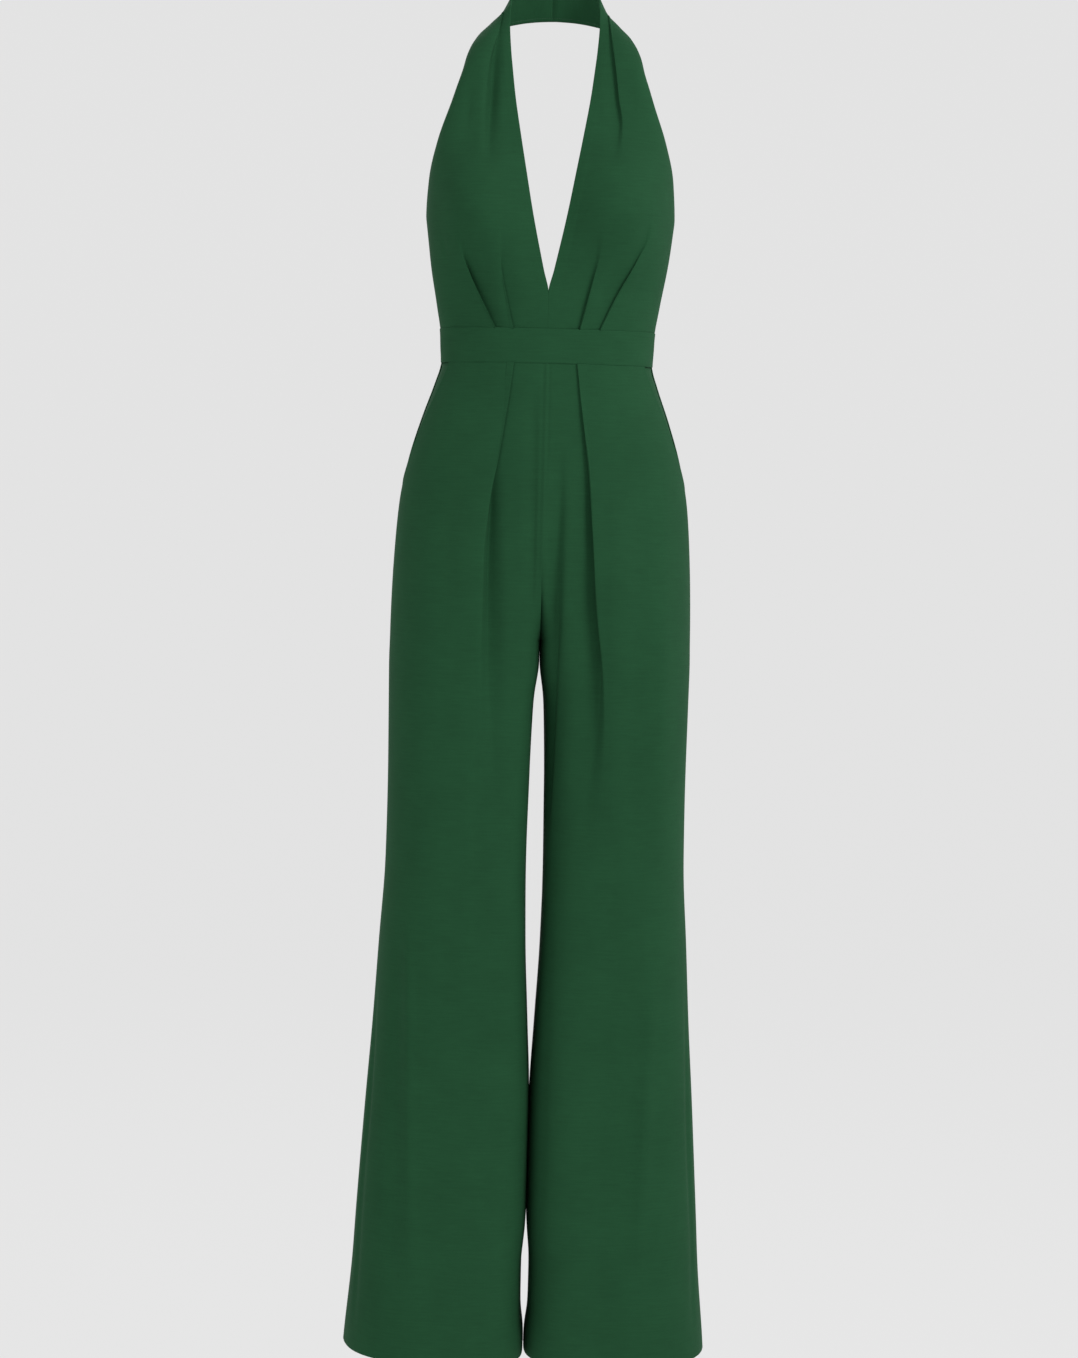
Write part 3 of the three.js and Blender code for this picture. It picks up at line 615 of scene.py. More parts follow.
def waistband_grid(front):
    rows = []
    for z in spread(WAIST_TOP, WAIST_FOOT, 22, True, True):
        curve = half_section(z, front, 0.7)
        s = spread(0, curve.length, 60, not front, True)
        out = 0.18 * np.sin(s * 0.11 + z * 0.2) + 0.15 * np.sin(s * 0.047 - z * 0.13 + 1)
        if not front:
            out = out + edge_roll(s, 2.0, SEAM_ROLL)
        out = out + edge_roll(curve.length - s, 2.0, SEAM_ROLL)
        out = out + edge_roll(WAIST_TOP - z, 1.8, SOFT_ROLL) + edge_roll(z - WAIST_FOOT, 1.8, SEAM_ROLL)
        row = curve.lifted(s, out)
        if front:
            other = row[1:][::-1] * np.array([-1, 1, 1])
            row[0, 0] = 0
            row = np.concatenate([other, row])
        rows.append(row)
    return np.array(rows)


def pocket_facing_grid():
    rows = []
    for z in np.linspace(WAIST_FOOT - 0.1, POCKET_FOOT - 16, 40):
        front, back = half_section(z, True, -1.5), half_section(z, False, -1.5)
        behind = np.linspace(back.length - 16, back.length, 8)[:-1]
        ahead = np.linspace(front.length, front.length - pocket_mouth(z) - 16, 26)
        rows.append(np.concatenate([back.at(behind), front.at(ahead)]))
    return np.array(rows)


def neckband_grid(side):
    left = side == "left"
    end = -NECK_LAP if left else NECK_SEAM
    rows = []
    for run in spread(NECK_RUN - 0.6, end, 70, False, True):
        e = NECK(NECK_RUN - abs(run))
        sign = math.copysign(1, run) if run else 1
        upper = np.array([sign * e["upperX"], e["upperY"], e["upperZ"]])
        lower = np.array([sign * e["lowerX"], e["lowerY"], e["lowerZ"]])
        away = np.array([upper[0] + lower[0], upper[1] + lower[1] + 80, 0])
        away = away / np.linalg.norm(away)
        lap = float(ease(-34, -4, -run)) * 2.7 if left else 0.0
        t = spread(0, 1, 18)
        out = lap + 0.22 * np.sin(run * 0.21 + t * 4) + 0.2 * np.sin(run * 0.09 - t * 7)
        if left:
            out = out + wrinkle(run, t, 60, 0.4, 16, -1.5) + wrinkle(run, t, 48, 0.68, 12, -0.7)
            out = out + 0.9 * math.exp(-(((run + 1.4) / 1.6) ** 2))  # a groove beside the lapped end
        else:
            out = out + wrinkle(run, t, 60, 0.5, 12, -0.5)
        rows.append(upper + (lower - upper) * t[:, None] + away * out[:, None])
    return np.array(rows)


def wrinkle(run, t, at, height, long, out):
    """A short crease along the neckband."""
    slanted = t - height - (run - at) * 0.006
    return out * fade((run - at) / long) * np.exp(-((slanted / 0.07) ** 2))


def face_directions(grid):
    """Steps along and down a grid, the direction square to both, and the sign that turns it outwards."""
    along, down = np.gradient(grid, axis=1), np.gradient(grid, axis=0)
    normal = np.cross(along, down)
    normal /= np.maximum(np.linalg.norm(normal, axis=2, keepdims=True), 1e-9)
    facing = np.sum(normal[..., 0] * grid[..., 0] + normal[..., 1] * (grid[..., 1] - MIDDLE_Y))
    return along, down, normal, 1 if facing > 0 else -1


def shell(name, grid, thick, material, side="left"):
    """A closed wall of cloth inside the grid of its outer face, with round edges and a UV map in metres."""
    grid = np.array(grid, float)
    if side == "right":
        grid = grid * np.array([-1, 1, 1])
    high, wide = grid.shape[:2]
    along, down, normal, sign = face_directions(grid)
    normal = keep_in_seam(normal * sign, grid)
    depth = np.broadcast_to(np.asarray(thick, float).reshape(-1, 1), (high, wide))[..., None]
    inner = grid - normal * depth
    loop = [(0, c) for c in range(wide)] + [(r, wide - 1) for r in range(1, high)]
    loop += [(high - 1, c) for c in range(wide - 2, -1, -1)] + [(r, 0) for r in range(high - 2, 0, -1)]
    loop = np.array(loop)
    r, c = loop[:, 0], loop[:, 1]
    push = np.zeros((len(loop), 3))
    push += np.where((c == 0)[:, None], -along[r, c], 0) + np.where((c == wide - 1)[:, None], along[r, c], 0)
    push += np.where((r == 0)[:, None], -down[r, c], 0) + np.where((r == high - 1)[:, None], down[r, c], 0)
    push /= np.maximum(np.linalg.norm(push, axis=1, keepdims=True), 1e-9)
    rim = (grid[r, c] + inner[r, c]) / 2 + push * depth[r, c] * RIM
    points = np.concatenate([grid.reshape(-1, 3), inner.reshape(-1, 3), rim]) * MM
    index = np.arange(high * wide).reshape(high, wide)
    quads = np.stack([index[:-1, :-1], index[:-1, 1:], index[1:, 1:], index[1:, :-1]], axis=-1).reshape(-1, 4)
    count = high * wide
    outer_loop = r * wide + c
    rim_loop = 2 * count + np.arange(len(loop))
    after = np.roll(np.arange(len(loop)), -1)
    first = np.stack([outer_loop, rim_loop, rim_loop[after], outer_loop[after]], axis=-1)
    second = np.stack([rim_loop, count + outer_loop, count + outer_loop[after], rim_loop[after]], axis=-1)
    if sign < 0:
        quads, first, second = quads[:, ::-1], first[:, ::-1], second[:, ::-1]
    faces = np.concatenate([quads, count + quads[:, ::-1], first, second])
    across = np.linalg.norm(np.diff(grid, axis=1), axis=2)
    across = np.concatenate([np.zeros((high, 1)), np.cumsum(across, axis=1)], axis=1)
    length = np.linalg.norm(np.diff(grid, axis=0), axis=2).mean(axis=1)
    length = np.broadcast_to(np.concatenate([[0], np.cumsum(length)])[:, None], (high, wide))
    plain = np.stack([across, length], axis=-1) * MM
    uv = np.concatenate([plain.reshape(-1, 2), plain.reshape(-1, 2), plain[r, c]])
    mesh = bpy.data.meshes.new(name)
    mesh.from_pydata(points.tolist(), [], faces.tolist())
    layer = mesh.uv_layers.new(name="cut")
    corner = np.empty(len(mesh.loops), dtype=np.int32)
    mesh.loops.foreach_get("vertex_index", corner)
    layer.data.foreach_set("uv", uv[corner].ravel())
    piece = add_object(name, finished_mesh(mesh, material))
    cell = np.linalg.norm(np.cross(along, down), axis=2).sum()
    piece["cut_area"] = float(cell) * MM * MM
    piece["cut_wide"] = float(across[:, -1].max()) * MM
    piece["cut_long"] = float(length[-1, 0]) * MM
    return piece


def keep_in_seam(normal, grid):
    """The wall's edge at a centre seam, a side seam or an inseam is square to the seam."""
    side_y = BODY(grid[..., 2])["side"]
    for column in (0, -1):
        edge, points = normal[:, column], grid[:, column]
        at_side = np.abs(points[:, 1] - side_y[:, column]) < 1.2
        at_side &= points[:, 2] < UNDERARM + 2
        at_centre = ~at_side & (np.abs(points[:, 0]) < 1.2) & (points[:, 2] < BACK_TOP + 14)
        edge[at_side, 1] = 0
        edge[at_centre, 0] = 0
        edge /= np.maximum(np.linalg.norm(edge, axis=1, keepdims=True), 1e-9)
    return normal


# Materials


def node(tree, kind, place, **values):
    """A node whose sockets take numbers or other nodes' outputs; any other name is one of its settings."""
    made = tree.nodes.new(kind)
    made.location = (place[0] * 200, place[1] * -180)
    for key, value in values.items():
        if key not in made.inputs:
            setattr(made, key, value)
        elif isinstance(value, bpy.types.NodeSocket):
            tree.links.new(value, made.inputs[key])
        else:
            made.inputs[key].default_value = value
    return made


def noise(tree, place, source, scale, detail, roughness=0.5):
    values = {"Vector": source, "Scale": scale, "Detail": detail, "Roughness": roughness}
    return node(tree, "ShaderNodeTexNoise", place, **values).outputs["Fac"]


def ranged(tree, place, source, low, high, to_low, to_high):
    """A value moved from one range to another."""
    values = {"Value": source, "From Min": low, "From Max": high, "To Min": to_low, "To Max": to_high}
    return node(tree, "ShaderNodeMapRange", place, **values).outputs["Result"]


def mixed(tree, place, factor, first, second, blend="MIX"):
    """Two colours, mixed."""
    made = node(tree, "ShaderNodeMix", place, data_type="RGBA", blend_type=blend)
    for key, value in (("Factor", factor), ("A", first), ("B", second)):
        if isinstance(value, bpy.types.NodeSocket):
            tree.links.new(value, made.inputs[key])
        else:
            made.inputs[key].default_value = value
    return made.outputs["Result"]


def new_material(name, values):
    """A material with one shader, and the values of that shader's sockets."""
    material = bpy.data.materials.new(name)
    material.use_nodes = True
    tree = material.node_tree
    tree.nodes.clear()
    shader = node(tree, "ShaderNodeBsdfPrincipled", (5, 0), **values)
    node(tree, "ShaderNodeOutputMaterial", (6, 0), Surface=shader.outputs["BSDF"])
    return material, tree, shader


def shade(color, factor):
    return (color[0] * factor, color[1] * factor, color[2] * factor, 1.0)


def crepe_material(name, color, pebble, weave):
    """Crepe: a fine pebbled weave, dull, with a slight bloom and small shifts of colour."""
    bloom = {"Sheen Weight": 0.015, "Sheen Roughness": 0.5, "Sheen Tint": (0.35, 0.8, 0.5, 1)}
    material, tree, shader = new_material(name, {"Roughness": 0.82, "Specular IOR Level": 0.06, **bloom})
    cut = node(tree, "ShaderNodeUVMap", (-3, 1), uv_map="cut").outputs["UV"]
    place = node(tree, "ShaderNodeTexCoord", (-3, -1)).outputs["Object"]
    cloudy = ranged(tree, (0, -1), noise(tree, (-1, -1), place, 14.0, 6.0, 0.72), 0.3, 0.7, 0.0, 1.0)
    base = mixed(tree, (1, -1), cloudy, shade(color, 0.93), shade(color, 1.07))
    flat = node(tree, "ShaderNodeMapping", (-2, 1), Vector=cut, Scale=(1.0, 0.55, 1.0)).outputs["Vector"]
    grain = noise(tree, (-1, 1), flat, 1.0 / (pebble * MM), 2.0, 0.6)
    dots = node(tree, "ShaderNodeValToRGB", (1, 1), Fac=grain)
    for element, position, value in zip(dots.color_ramp.elements, (0.36, 0.6), (0.7, 1.08)):
        element.position = position
        element.color = (value, value, value, 1)
    fleck = mixed(tree, (2, -1), 0.35, base, dots.outputs["Color"], "MULTIPLY")
    long = node(tree, "ShaderNodeMapping", (-2, 3), Vector=cut, Scale=(34.0, 520.0, 1.0)).outputs["Vector"]
    streak = ranged(tree, (0, 3), noise(tree, (-1, 3), long, 1.0, 3.0, 0.6), 0.3, 0.7, 0.94, 1.06)
    woven = node(tree, "ShaderNodeVectorMath", (3, 3), operation="SCALE", Scale=streak)
    tree.links.new(fleck, woven.inputs[0])
    tree.links.new(woven.outputs["Vector"], shader.inputs["Base Color"])
    threads = node(tree, "ShaderNodeTexWave", (-1, 2), bands_direction="Y", Vector=cut,
                   Scale=0.32 / (weave * MM), Distortion=1.2, Detail=1.0)
    height = node(tree, "ShaderNodeMath", (1, 2), operation="MULTIPLY_ADD")
    height.inputs[1].default_value = 0.35
    tree.links.new(threads.outputs["Fac"], height.inputs[0])
    tree.links.new(grain, height.inputs[2])
    high = height.outputs["Value"]
    bump = node(tree, "ShaderNodeBump", (3, 1), Height=high, Strength=0.35, Distance=0.00025)
    tree.links.new(bump.outputs["Normal"], shader.inputs["Normal"])
    return material


def uneven_material(name, color, values, grain, dark, bright):
    """A material whose colour varies finely between a darker and a brighter shade."""
    material, tree, shader = new_material(name, values)
    place = node(tree, "ShaderNodeTexCoord", (0, 0)).outputs["Object"]
    varied = noise(tree, (1, 0), place, *grain)
    tone = mixed(tree, (3, 0), varied, shade(color, dark), shade(color, bright))
    tree.links.new(tone, shader.inputs["Base Color"])
    return material, tree, shader, varied


def thread_material(name, color):
    """Twisted sewing thread, a little brighter than the cloth."""
    return uneven_material(name, color, {"Roughness": 0.55, "Sheen Weight": 0.3}, (900.0, 1.0), 0.85, 1.2)[0]


def enamel_material(name, color):
    """Enamelled metal, rubbed a little unevenly."""
    values = {"Roughness": 0.34, "Metallic": 0.1, "Coat Weight": 0.4}
    material, tree, shader, rub = uneven_material(name, color, values, (260.0, 3.0), 0.8, 1.15)
    tree.links.new(ranged(tree, (3, 1), rub, 0.0, 1.0, 0.26, 0.46), shader.inputs["Roughness"])
    return material


def paper_material(name, color, glow):
    """Matt paper that glows a little, so that it stays pale."""
    values = {"Roughness": 0.9, "Base Color": (*color, 1), "Specular IOR Level": 0.0}
    return new_material(name, {**values, "Emission Color": (1, 1, 1, 1), "Emission Strength": glow})[0]


# Geometry Nodes: stitches along a line, and zip coils along a line


def repeat_tree(name, sizes, element):
    """A tree that sets small elements along a curve, one for each spacing, turned along it."""
    tree = bpy.data.node_groups.new(name, "GeometryNodeTree")
    tree.interface.new_socket("Geometry", in_out="INPUT", socket_type="NodeSocketGeometry")
    for label, value in sizes.items():
        socket = tree.interface.new_socket(label, in_out="INPUT", socket_type="NodeSocketFloat")
        socket.default_value = value
        socket.subtype = "DISTANCE"
    tree.interface.new_socket("Material", in_out="INPUT", socket_type="NodeSocketMaterial")
    tree.interface.new_socket("Geometry", in_out="OUTPUT", socket_type="NodeSocketGeometry")
    given = node(tree, "NodeGroupInput", (-5, 0)).outputs
    points = node(tree, "GeometryNodeCurveToPoints", (-2, 0), mode="LENGTH", Curve=given["Geometry"],
                  Length=given["Spacing"]).outputs
    placed = node(tree, "GeometryNodeInstanceOnPoints", (1, 0), Points=points["Points"],
                  Rotation=points["Rotation"], Instance=element(tree, given)).outputs["Instances"]
    real = node(tree, "GeometryNodeRealizeInstances", (3, 0), Geometry=placed).outputs["Geometry"]
    paint = node(tree, "GeometryNodeSetMaterial", (5, 0), Geometry=real, Material=given["Material"])
    node(tree, "NodeGroupOutput", (6, 0), Geometry=paint.outputs["Geometry"])
    return tree


def sized(tree, shape, x, y, z):
    """A small shape, stretched to a size along each axis."""
    size = node(tree, "ShaderNodeCombineXYZ", (-2, 2), X=x, Y=y, Z=z).outputs["Vector"]
    made = node(tree, "GeometryNodeTransform", (-1, 2), Geometry=shape.outputs["Mesh"], Scale=size)
    return made.outputs["Geometry"]


def stitch_element(tree, given):
    """A short round thread, sunk at its ends."""
    ball = node(tree, "GeometryNodeMeshUVSphere", (-3, 2), Segments=6, Rings=5, Radius=0.5)
    return sized(tree, ball, given["Thread"], given["Thread"], given["Stitch"])


def coil_element(tree, given):
    """One turn of the zip's coil."""
    turn = node(tree, "GeometryNodeMeshCylinder", (-3, 2), Vertices=8, Radius=0.5, Depth=1.0)
    return sized(tree, turn, given["Coil Thick"], given["Coil Wide"], given["Coil Step"])


def add_object(name, data):
    """A new object at the origin of the scene."""
    made = bpy.data.objects.new(name, data)
    bpy.context.scene.collection.objects.link(made)
    return made


def finished_mesh(mesh, material):
    """Smooth faces, and one material."""
    mesh.materials.clear()
    mesh.materials.append(material)
    mesh.polygons.foreach_set("use_smooth", [True] * len(mesh.polygons))
    return mesh


def line_curve(name, points):
    data = bpy.data.curves.new(name, "CURVE")
    data.dimensions = "3D"
    spline = data.splines.new("POLY")
    spline.points.add(len(points) - 1)
    for point, place in zip(spline.points, np.asarray(points) * MM):
        point.co = (*place, 1)
    return add_object(name, data)


def repeated_along(name, lines, tree, values, material):
    """Runs a tree over each line and keeps the result as one plain mesh."""
    values = {**values, "Material": material}
    joined = bmesh.new()
    for k, points in enumerate(lines):
        line = line_curve(f"{name}_line_{k}", points)
        modifier = line.modifiers.new("repeat", "NODES")
        modifier.node_group = tree
        for item in tree.interface.items_tree:
            if item.in_out == "INPUT" and item.name in values:
                modifier[item.identifier] = values[item.name]
        graph = bpy.context.evaluated_depsgraph_get()
        made = bpy.data.meshes.new_from_object(line.evaluated_get(graph))
        joined.from_mesh(made)
        bpy.data.objects.remove(line)
        bpy.data.meshes.remove(made)
    mesh = bpy.data.meshes.new(name)
    joined.to_mesh(mesh)
    joined.free()
    return add_object(name, finished_mesh(mesh, material))


# Settings


def length_setting(name, description, default, low):
    return bpy.props.FloatProperty(
        name=name, description=description, unit="LENGTH", default=default, min=low
    )


def colour_setting(name, description, default):
    return bpy.props.FloatVectorProperty(
        name=name, description=description, subtype="COLOR", default=default, min=0, max=1
    )


def grain_setting(name, description, default):
    return bpy.props.FloatProperty(name=name, description=description, default=default, min=0.2, max=2)


def power_setting(name, description, default):
    return bpy.props.FloatProperty(name=name, description=description, unit="POWER", default=default, min=0.0)


class JUMPSUIT_PG_cloth(bpy.types.PropertyGroup):
    """Sizes and colour of the crepe"""

    colour: colour_setting("Crepe", "Colour of the crepe", (0.0149, 0.0682, 0.0284))
    thickness: length_setting("Thickness", "Thickness of one layer of crepe", 0.0009, 0.0004)
    pebble: grain_setting("Pebble", "Size of the crepe's pebbles, in millimetres", 0.55)
    weave: grain_setting("Weave", "Distance between the crepe's threads, in millimetres", 0.4)
    hem: length_setting("Hem", "Depth of the turned-up hem", 0.038, 0.005)


class JUMPSUIT_PG_sewing(bpy.types.PropertyGroup):
    """Sizes of the sewing and the zip"""

    stitch: length_setting("Stitch", "Length of one stitch", 0.0022, 0.001)
    spacing: length_setting("Stitch Spacing", "From one stitch to the next", 0.0028, 0.001)
    thread: length_setting("Thread", "Thickness of the thread", 0.0003, 0.0001)
    coil: length_setting("Coil Spacing", "From one turn of the zip's coil to the next", 0.0014, 0.0005)
    thread_colour: colour_setting("Thread Colour", "Colour of the sewing thread", (0.022, 0.085, 0.04))


class JUMPSUIT_PG_stage(bpy.types.PropertyGroup):
    """Floor and light"""

    floor_drop: length_setting("Floor", "How far under the hem the floor lies", 0.45, 0.0)
    floor_colour: colour_setting("Floor Colour", "Colour of the floor", (0.1, 0.1, 0.1))
    key_power: power_setting("Key Light", "Power of the large light on the right", 66.0)
    fill_power: power_setting("Fill Light", "Power of the light on the left", 12.0)


def cloth_material(name="pebbled_crepe"):
    found = bpy.data.materials.get(name)
    settings = bpy.context.scene.jumpsuit_cloth
    return found or crepe_material(name, tuple(settings.colour), settings.pebble, settings.weave)


def dress(node_name, grid, thick, side="left"):
    """A sheet of crepe that rides the garment, stands for its node and is declared at its full size."""
    piece = shell(f"cloth_{node_name}", grid, thick, cloth_material(), side)
    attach(piece, GARMENT)
    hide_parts(node_name)


class JUMPSUIT_OT_legs(bpy.types.Operator):
    """Makes the fronts and backs of the trousers, with their pleats, seams and hems"""

    bl_idname = "jumpsuit.legs"
    bl_label = "Trousers"

    def execute(self, context):
        settings = context.scene.jumpsuit_cloth
        one = settings.thickness / MM
        for side in ("left", "right"):
            grid, heights = leg_front_grid(side)
            thick = np.where(heights < HEM + settings.hem / MM, 2.0 * one, one)
            dress(f"leg_front_{side}", grid, thick, side)
            grid = leg_back_grid(side)[0]
            dress(f"leg_back_{side}", grid, thick, side)
            grid = pocket_facing_grid()
            dress(f"pocket_facing_{side}", grid, one, side)
        return {"FINISHED"}


class JUMPSUIT_OT_bodice(bpy.types.Operator):
    """Makes the bodice's fronts with their straps, and its low back"""

    bl_idname = "jumpsuit.bodice"
    bl_label = "Bodice"

    def execute(self, context):
        thick = 1.2 * context.scene.jumpsuit_cloth.thickness / MM
        for side in ("left", "right"):
            grid = bodice_front_grid(side)
            dress(f"bodice_front_{side}", grid, thick, side)
            grid = bodice_back_grid()
            dress(f"bodice_back_{side}", grid, thick, side)
        return {"FINISHED"}


class JUMPSUIT_OT_bands(bpy.types.Operator):
    """Makes the waistband and the neckband"""

    bl_idname = "jumpsuit.bands"
    bl_label = "Waistband and Neckband"

    def execute(self, context):
        thick = 2.0 * context.scene.jumpsuit_cloth.thickness / MM
        dress("waistband_front", waistband_grid(True), thick)
        for side in ("left", "right"):
            grid = waistband_grid(False)
            dress(f"waistband_back_{side}", grid, thick, side)
            dress(f"neckband_{side}", neckband_grid(side), BAND_THICK, side)
        return {"FINISHED"}


class JUMPSUIT_OT_zip(bpy.types.Operator):
    """Makes the zip's tape, its coil, its slider and its pull"""

    bl_idname = "jumpsuit.zip"
    bl_label = "Zip"

    def execute(self, context):
        settings = context.scene.jumpsuit_cloth
        sewing = context.scene.jumpsuit_sewing
        tape_color = tuple(c * 0.8 for c in settings.colour)
        tape = crepe_material("zip_tape_weave", tape_color, 0.35, 0.6)
        rows, coil = [], []
        for z in np.linspace(ZIP_TOP, ZIP_FOOT, 60):
            curve = half_section(z, False, -2.2)
            half = curve.at(np.linspace(0, TAPE_HALF, 9))
            half[0, 0] = 0
            rows.append(np.concatenate([half[1:][::-1] * np.array([-1, 1, 1]), half]))
            coil.append(half[0] + np.array([0, -1.6, 0]))
        piece = shell("cloth_zip_tape", np.array(rows), 0.7, tape)
        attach(piece, GARMENT)
        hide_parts("zip_tape")
        sizes = {"Spacing": 0.0014, "Coil Thick": 0.0016, "Coil Wide": 0.0042, "Coil Step": 0.0009}
        tree = repeat_tree("zip_coil", sizes, coil_element)
        coil_color = enamel_material("zip_coil_nylon", tape_color)
        coils = repeated_along("zip_coil_turns", [coil], tree, {"Spacing": sewing.coil}, coil_color)
        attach(coils, GARMENT)
        enamel = enamel_material("zip_enamel_green", tuple(c * 0.9 for c in settings.colour))
        for name, body in (("zip_slider", GARMENT), ("zip_pull", "zip_pull")):
            piece = bevelled_copy(name, enamel)
            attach(piece, body)
            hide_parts(name)
        return {"FINISHED"}


def bevelled_copy(name, material):
    """The node's own solid with its corners rounded."""
    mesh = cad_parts[name].data.copy()
    mesh.name = f"metal_{name}"
    whole = bmesh.new()
    whole.from_mesh(mesh)
    bmesh.ops.remove_doubles(whole, verts=whole.verts, dist=1e-6)
    bmesh.ops.dissolve_limit(whole, angle_limit=math.radians(2), verts=whole.verts, edges=whole.edges)
    whole.to_mesh(mesh)
    whole.free()
    piece = add_object(f"metal_{name}", finished_mesh(mesh, material))
    bevel = piece.modifiers.new("rounded", "BEVEL")
    bevel.width = 0.00022
    bevel.segments = 2
    bevel.limit_method = "ANGLE"
    bevel.angle_limit = math.radians(35)
    return piece


class JUMPSUIT_OT_sewing(bpy.types.Operator):
    """Sets the stitches along the neckband's lower edge, outside and inside"""

    bl_idname = "jumpsuit.sewing"
    bl_label = "Sewing"

    def execute(self, context):
        sewing = context.scene.jumpsuit_sewing
        thread = thread_material("sewing_thread", tuple(sewing.thread_colour))
        sizes = {"Spacing": 0.0028, "Stitch": 0.0022, "Thread": 0.0003}
        tree = repeat_tree("stitch_line", sizes, stitch_element)
        values = {"Spacing": sewing.spacing, "Stitch": sewing.stitch, "Thread": sewing.thread}
        piece = repeated_along("stitches_neckband", neckband_stitch_lines(), tree, values, thread)
        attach(piece, GARMENT)
        return {"FINISHED"}


def offset_from(grid, thick, row_of):
    """Points on the inner and the outer face of a wall, along one line of its grid."""
    normal, sign = face_directions(grid)[2:]
    line, out = row_of(grid), row_of(normal * sign)
    return line + out * STITCH_PROUD, line - out * (thick + STITCH_PROUD)


def neckband_stitch_lines():
    lines = []
    for side, sign in (("left", 1), ("right", -1)):
        grid = neckband_grid(side)
        outer, inner = offset_from(grid, BAND_THICK, lambda g: g[2:-3, -3] * 0.6 + g[2:-3, -2] * 0.4)
        for line in (outer, inner):
            lines.append(line * np.array([sign, 1, 1]))
    return lines


def floor_mesh(low, color):
    """A flat floor whose rim curves up into a wall, so that no edge shows."""
    profile = [(FLOOR_RADIUS, 0.0)]
    for a in np.linspace(0.1, math.pi / 2, 14):
        profile.append((FLOOR_RADIUS + FLOOR_CURVE * math.sin(a), FLOOR_CURVE - FLOOR_CURVE * math.cos(a)))
    profile.append((FLOOR_RADIUS + FLOOR_CURVE, WALL_TOP))
    turns = [2 * math.pi * k / FLOOR_SIDES for k in range(FLOOR_SIDES)]
    points = [(out * math.cos(a), out * math.sin(a), low + rise) for out, rise in profile for a in turns]
    centre = len(points)
    faces = []
    for k in range(FLOOR_SIDES):
        after = (k + 1) % FLOOR_SIDES
        faces.append((centre, k, after))
        for ring in range(0, centre - FLOOR_SIDES, FLOOR_SIDES):
            above = ring + FLOOR_SIDES
            faces.append((ring + k, above + k, above + after, ring + after))
    mesh = bpy.data.meshes.new("studio_floor")
    mesh.from_pydata([*points, (0, 0, low)], [], faces)
    return finished_mesh(mesh, paper_material("studio_paper", color, FLOOR_GLOW))


class JUMPSUIT_OT_stage(bpy.types.Operator):
    """Sets the pale floor, the soft lights and the camera"""

    bl_idname = "jumpsuit.stage"
    bl_label = "Stage"

    def execute(self, context):
        settings = context.scene.jumpsuit_stage
        low = HEM * MM - settings.floor_drop
        add_object("studio_floor", floor_mesh(low, tuple(settings.floor_colour)))
        world = bpy.data.worlds.new("studio_air")
        world.use_nodes = True
        world.node_tree.nodes["Background"].inputs["Color"].default_value = (1, 1, 1, 1)
        world.node_tree.nodes["Background"].inputs["Strength"].default_value = 0.5
        context.scene.world = world
        context.scene.view_settings.view_transform = "Standard"
        middle = Vector((0, -0.08, -0.78))
        soft_light("key_light", (2.3, -2.0, 1.4), middle, (1.4, 1.6), settings.key_power)
        soft_light("fill_light", (-2.4, -2.6, 0.3), middle, (2.0, 2.6), settings.fill_power)
        soft_light("rim_light", (2.6, 1.0, 0.2), middle, (1.0, 2.6), settings.fill_power * 1.1)
        soft_light("back_light", (-0.8, 3.0, 1.4), middle, (2.4, 1.6), settings.fill_power * 2.2)
        camera_data = bpy.data.cameras.new("camera")
        camera_data.lens = 85
        camera_data.sensor_width = 36
        camera_data.clip_end = 60
        camera = add_object("camera", camera_data)
        turn = Matrix.Rotation(math.radians(86), 4, "X") @ Matrix.Rotation(math.radians(1.4), 4, "Z")
        camera.matrix_world = Matrix.Translation(CAMERA_PLACE) @ turn
        context.scene.camera = camera
        return {"FINISHED"}


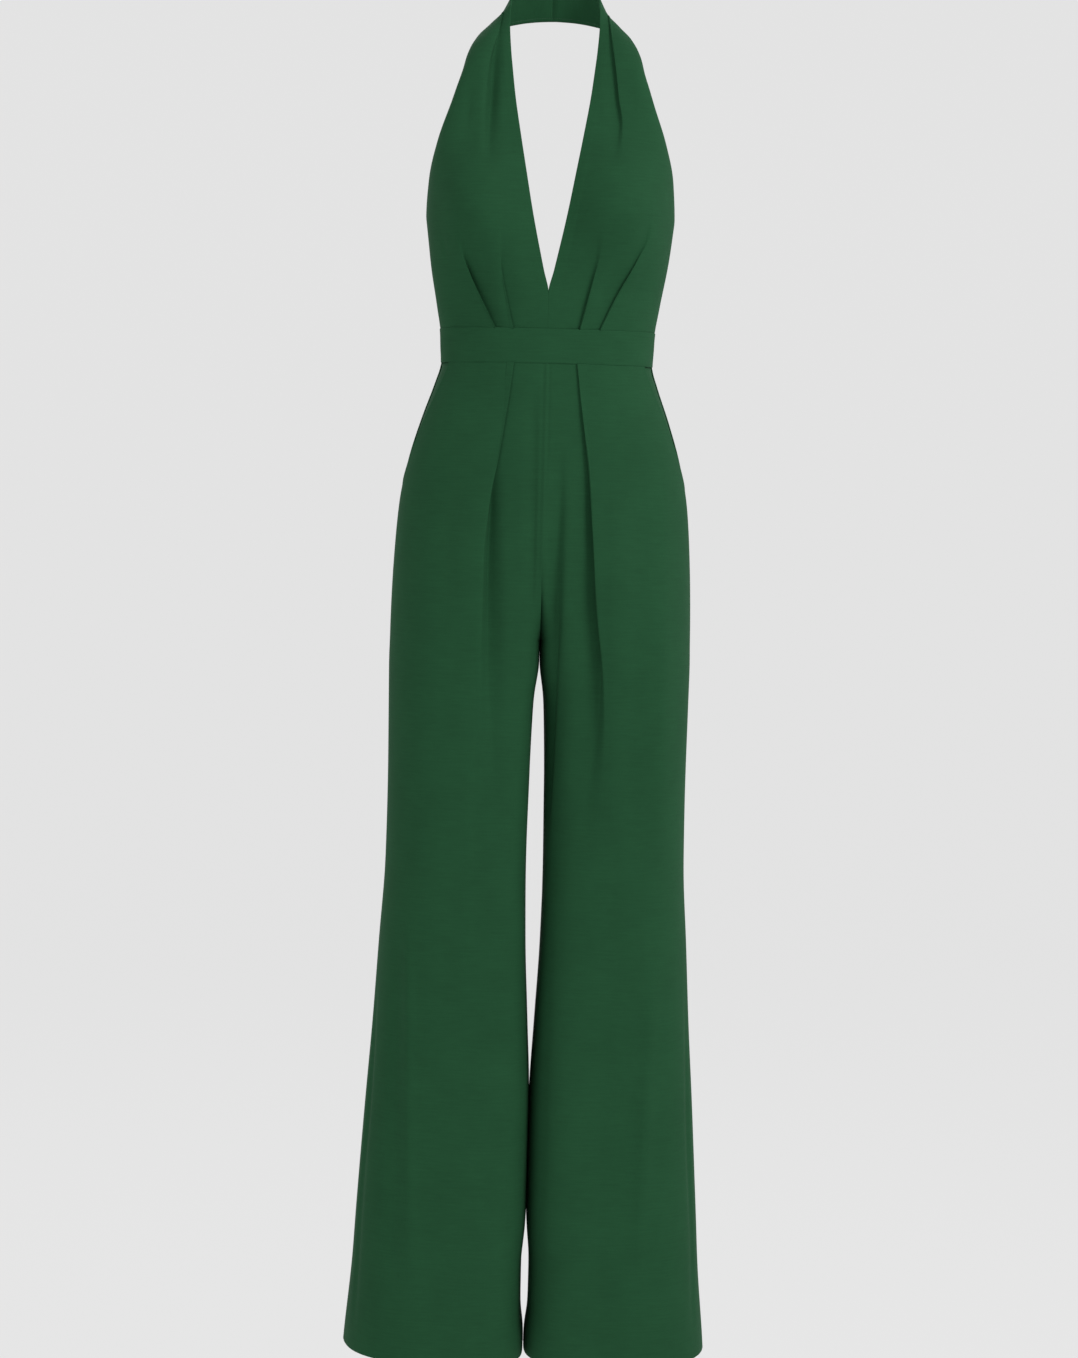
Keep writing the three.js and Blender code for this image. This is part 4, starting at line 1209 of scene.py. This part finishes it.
def soft_light(name, place, target, size, power):
    data = bpy.data.lights.new(name, "AREA")
    data.shape = "RECTANGLE"
    data.size, data.size_y = size
    data.energy = power
    light = add_object(name, data)
    light.location = place
    light.rotation_euler = (target - Vector(place)).to_track_quat("-Z", "Y").to_euler()
    light.visible_camera = False


class JUMPSUIT_PT_panel(bpy.types.Panel):
    """Lists the jumpsuit's pieces"""

    bl_idname = "JUMPSUIT_PT_panel"
    bl_label = "Jumpsuit"
    bl_space_type = "VIEW_3D"
    bl_region_type = "UI"
    bl_category = "Jumpsuit"

    def draw(self, context):
        column = self.layout.column(align=True)
        for made in OPERATORS:
            column.operator(made.bl_idname, text=made.bl_label)
        scene = context.scene
        for settings in (scene.jumpsuit_cloth, scene.jumpsuit_sewing, scene.jumpsuit_stage):
            box = self.layout.box()
            for key in settings.__annotations__:
                box.prop(settings, key)


OPERATORS = (
    JUMPSUIT_OT_legs,
    JUMPSUIT_OT_bodice,
    JUMPSUIT_OT_bands,
    JUMPSUIT_OT_zip,
    JUMPSUIT_OT_sewing,
    JUMPSUIT_OT_stage,
)
CLASSES = (JUMPSUIT_PG_cloth, JUMPSUIT_PG_sewing, JUMPSUIT_PG_stage, *OPERATORS, JUMPSUIT_PT_panel)


def register():
    for made in CLASSES:
        bpy.utils.register_class(made)
    bpy.types.Scene.jumpsuit_cloth = bpy.props.PointerProperty(type=JUMPSUIT_PG_cloth)
    bpy.types.Scene.jumpsuit_sewing = bpy.props.PointerProperty(type=JUMPSUIT_PG_sewing)
    bpy.types.Scene.jumpsuit_stage = bpy.props.PointerProperty(type=JUMPSUIT_PG_stage)


def unregister():
    del bpy.types.Scene.jumpsuit_stage
    del bpy.types.Scene.jumpsuit_sewing
    del bpy.types.Scene.jumpsuit_cloth
    for made in reversed(CLASSES):
        bpy.utils.unregister_class(made)


def main():
    register()
    bpy.ops.jumpsuit.stage()
    bpy.ops.jumpsuit.legs()
    bpy.ops.jumpsuit.bodice()
    bpy.ops.jumpsuit.bands()
    bpy.ops.jumpsuit.zip()
    bpy.ops.jumpsuit.sewing()


if __name__ == "__main__":
    main()
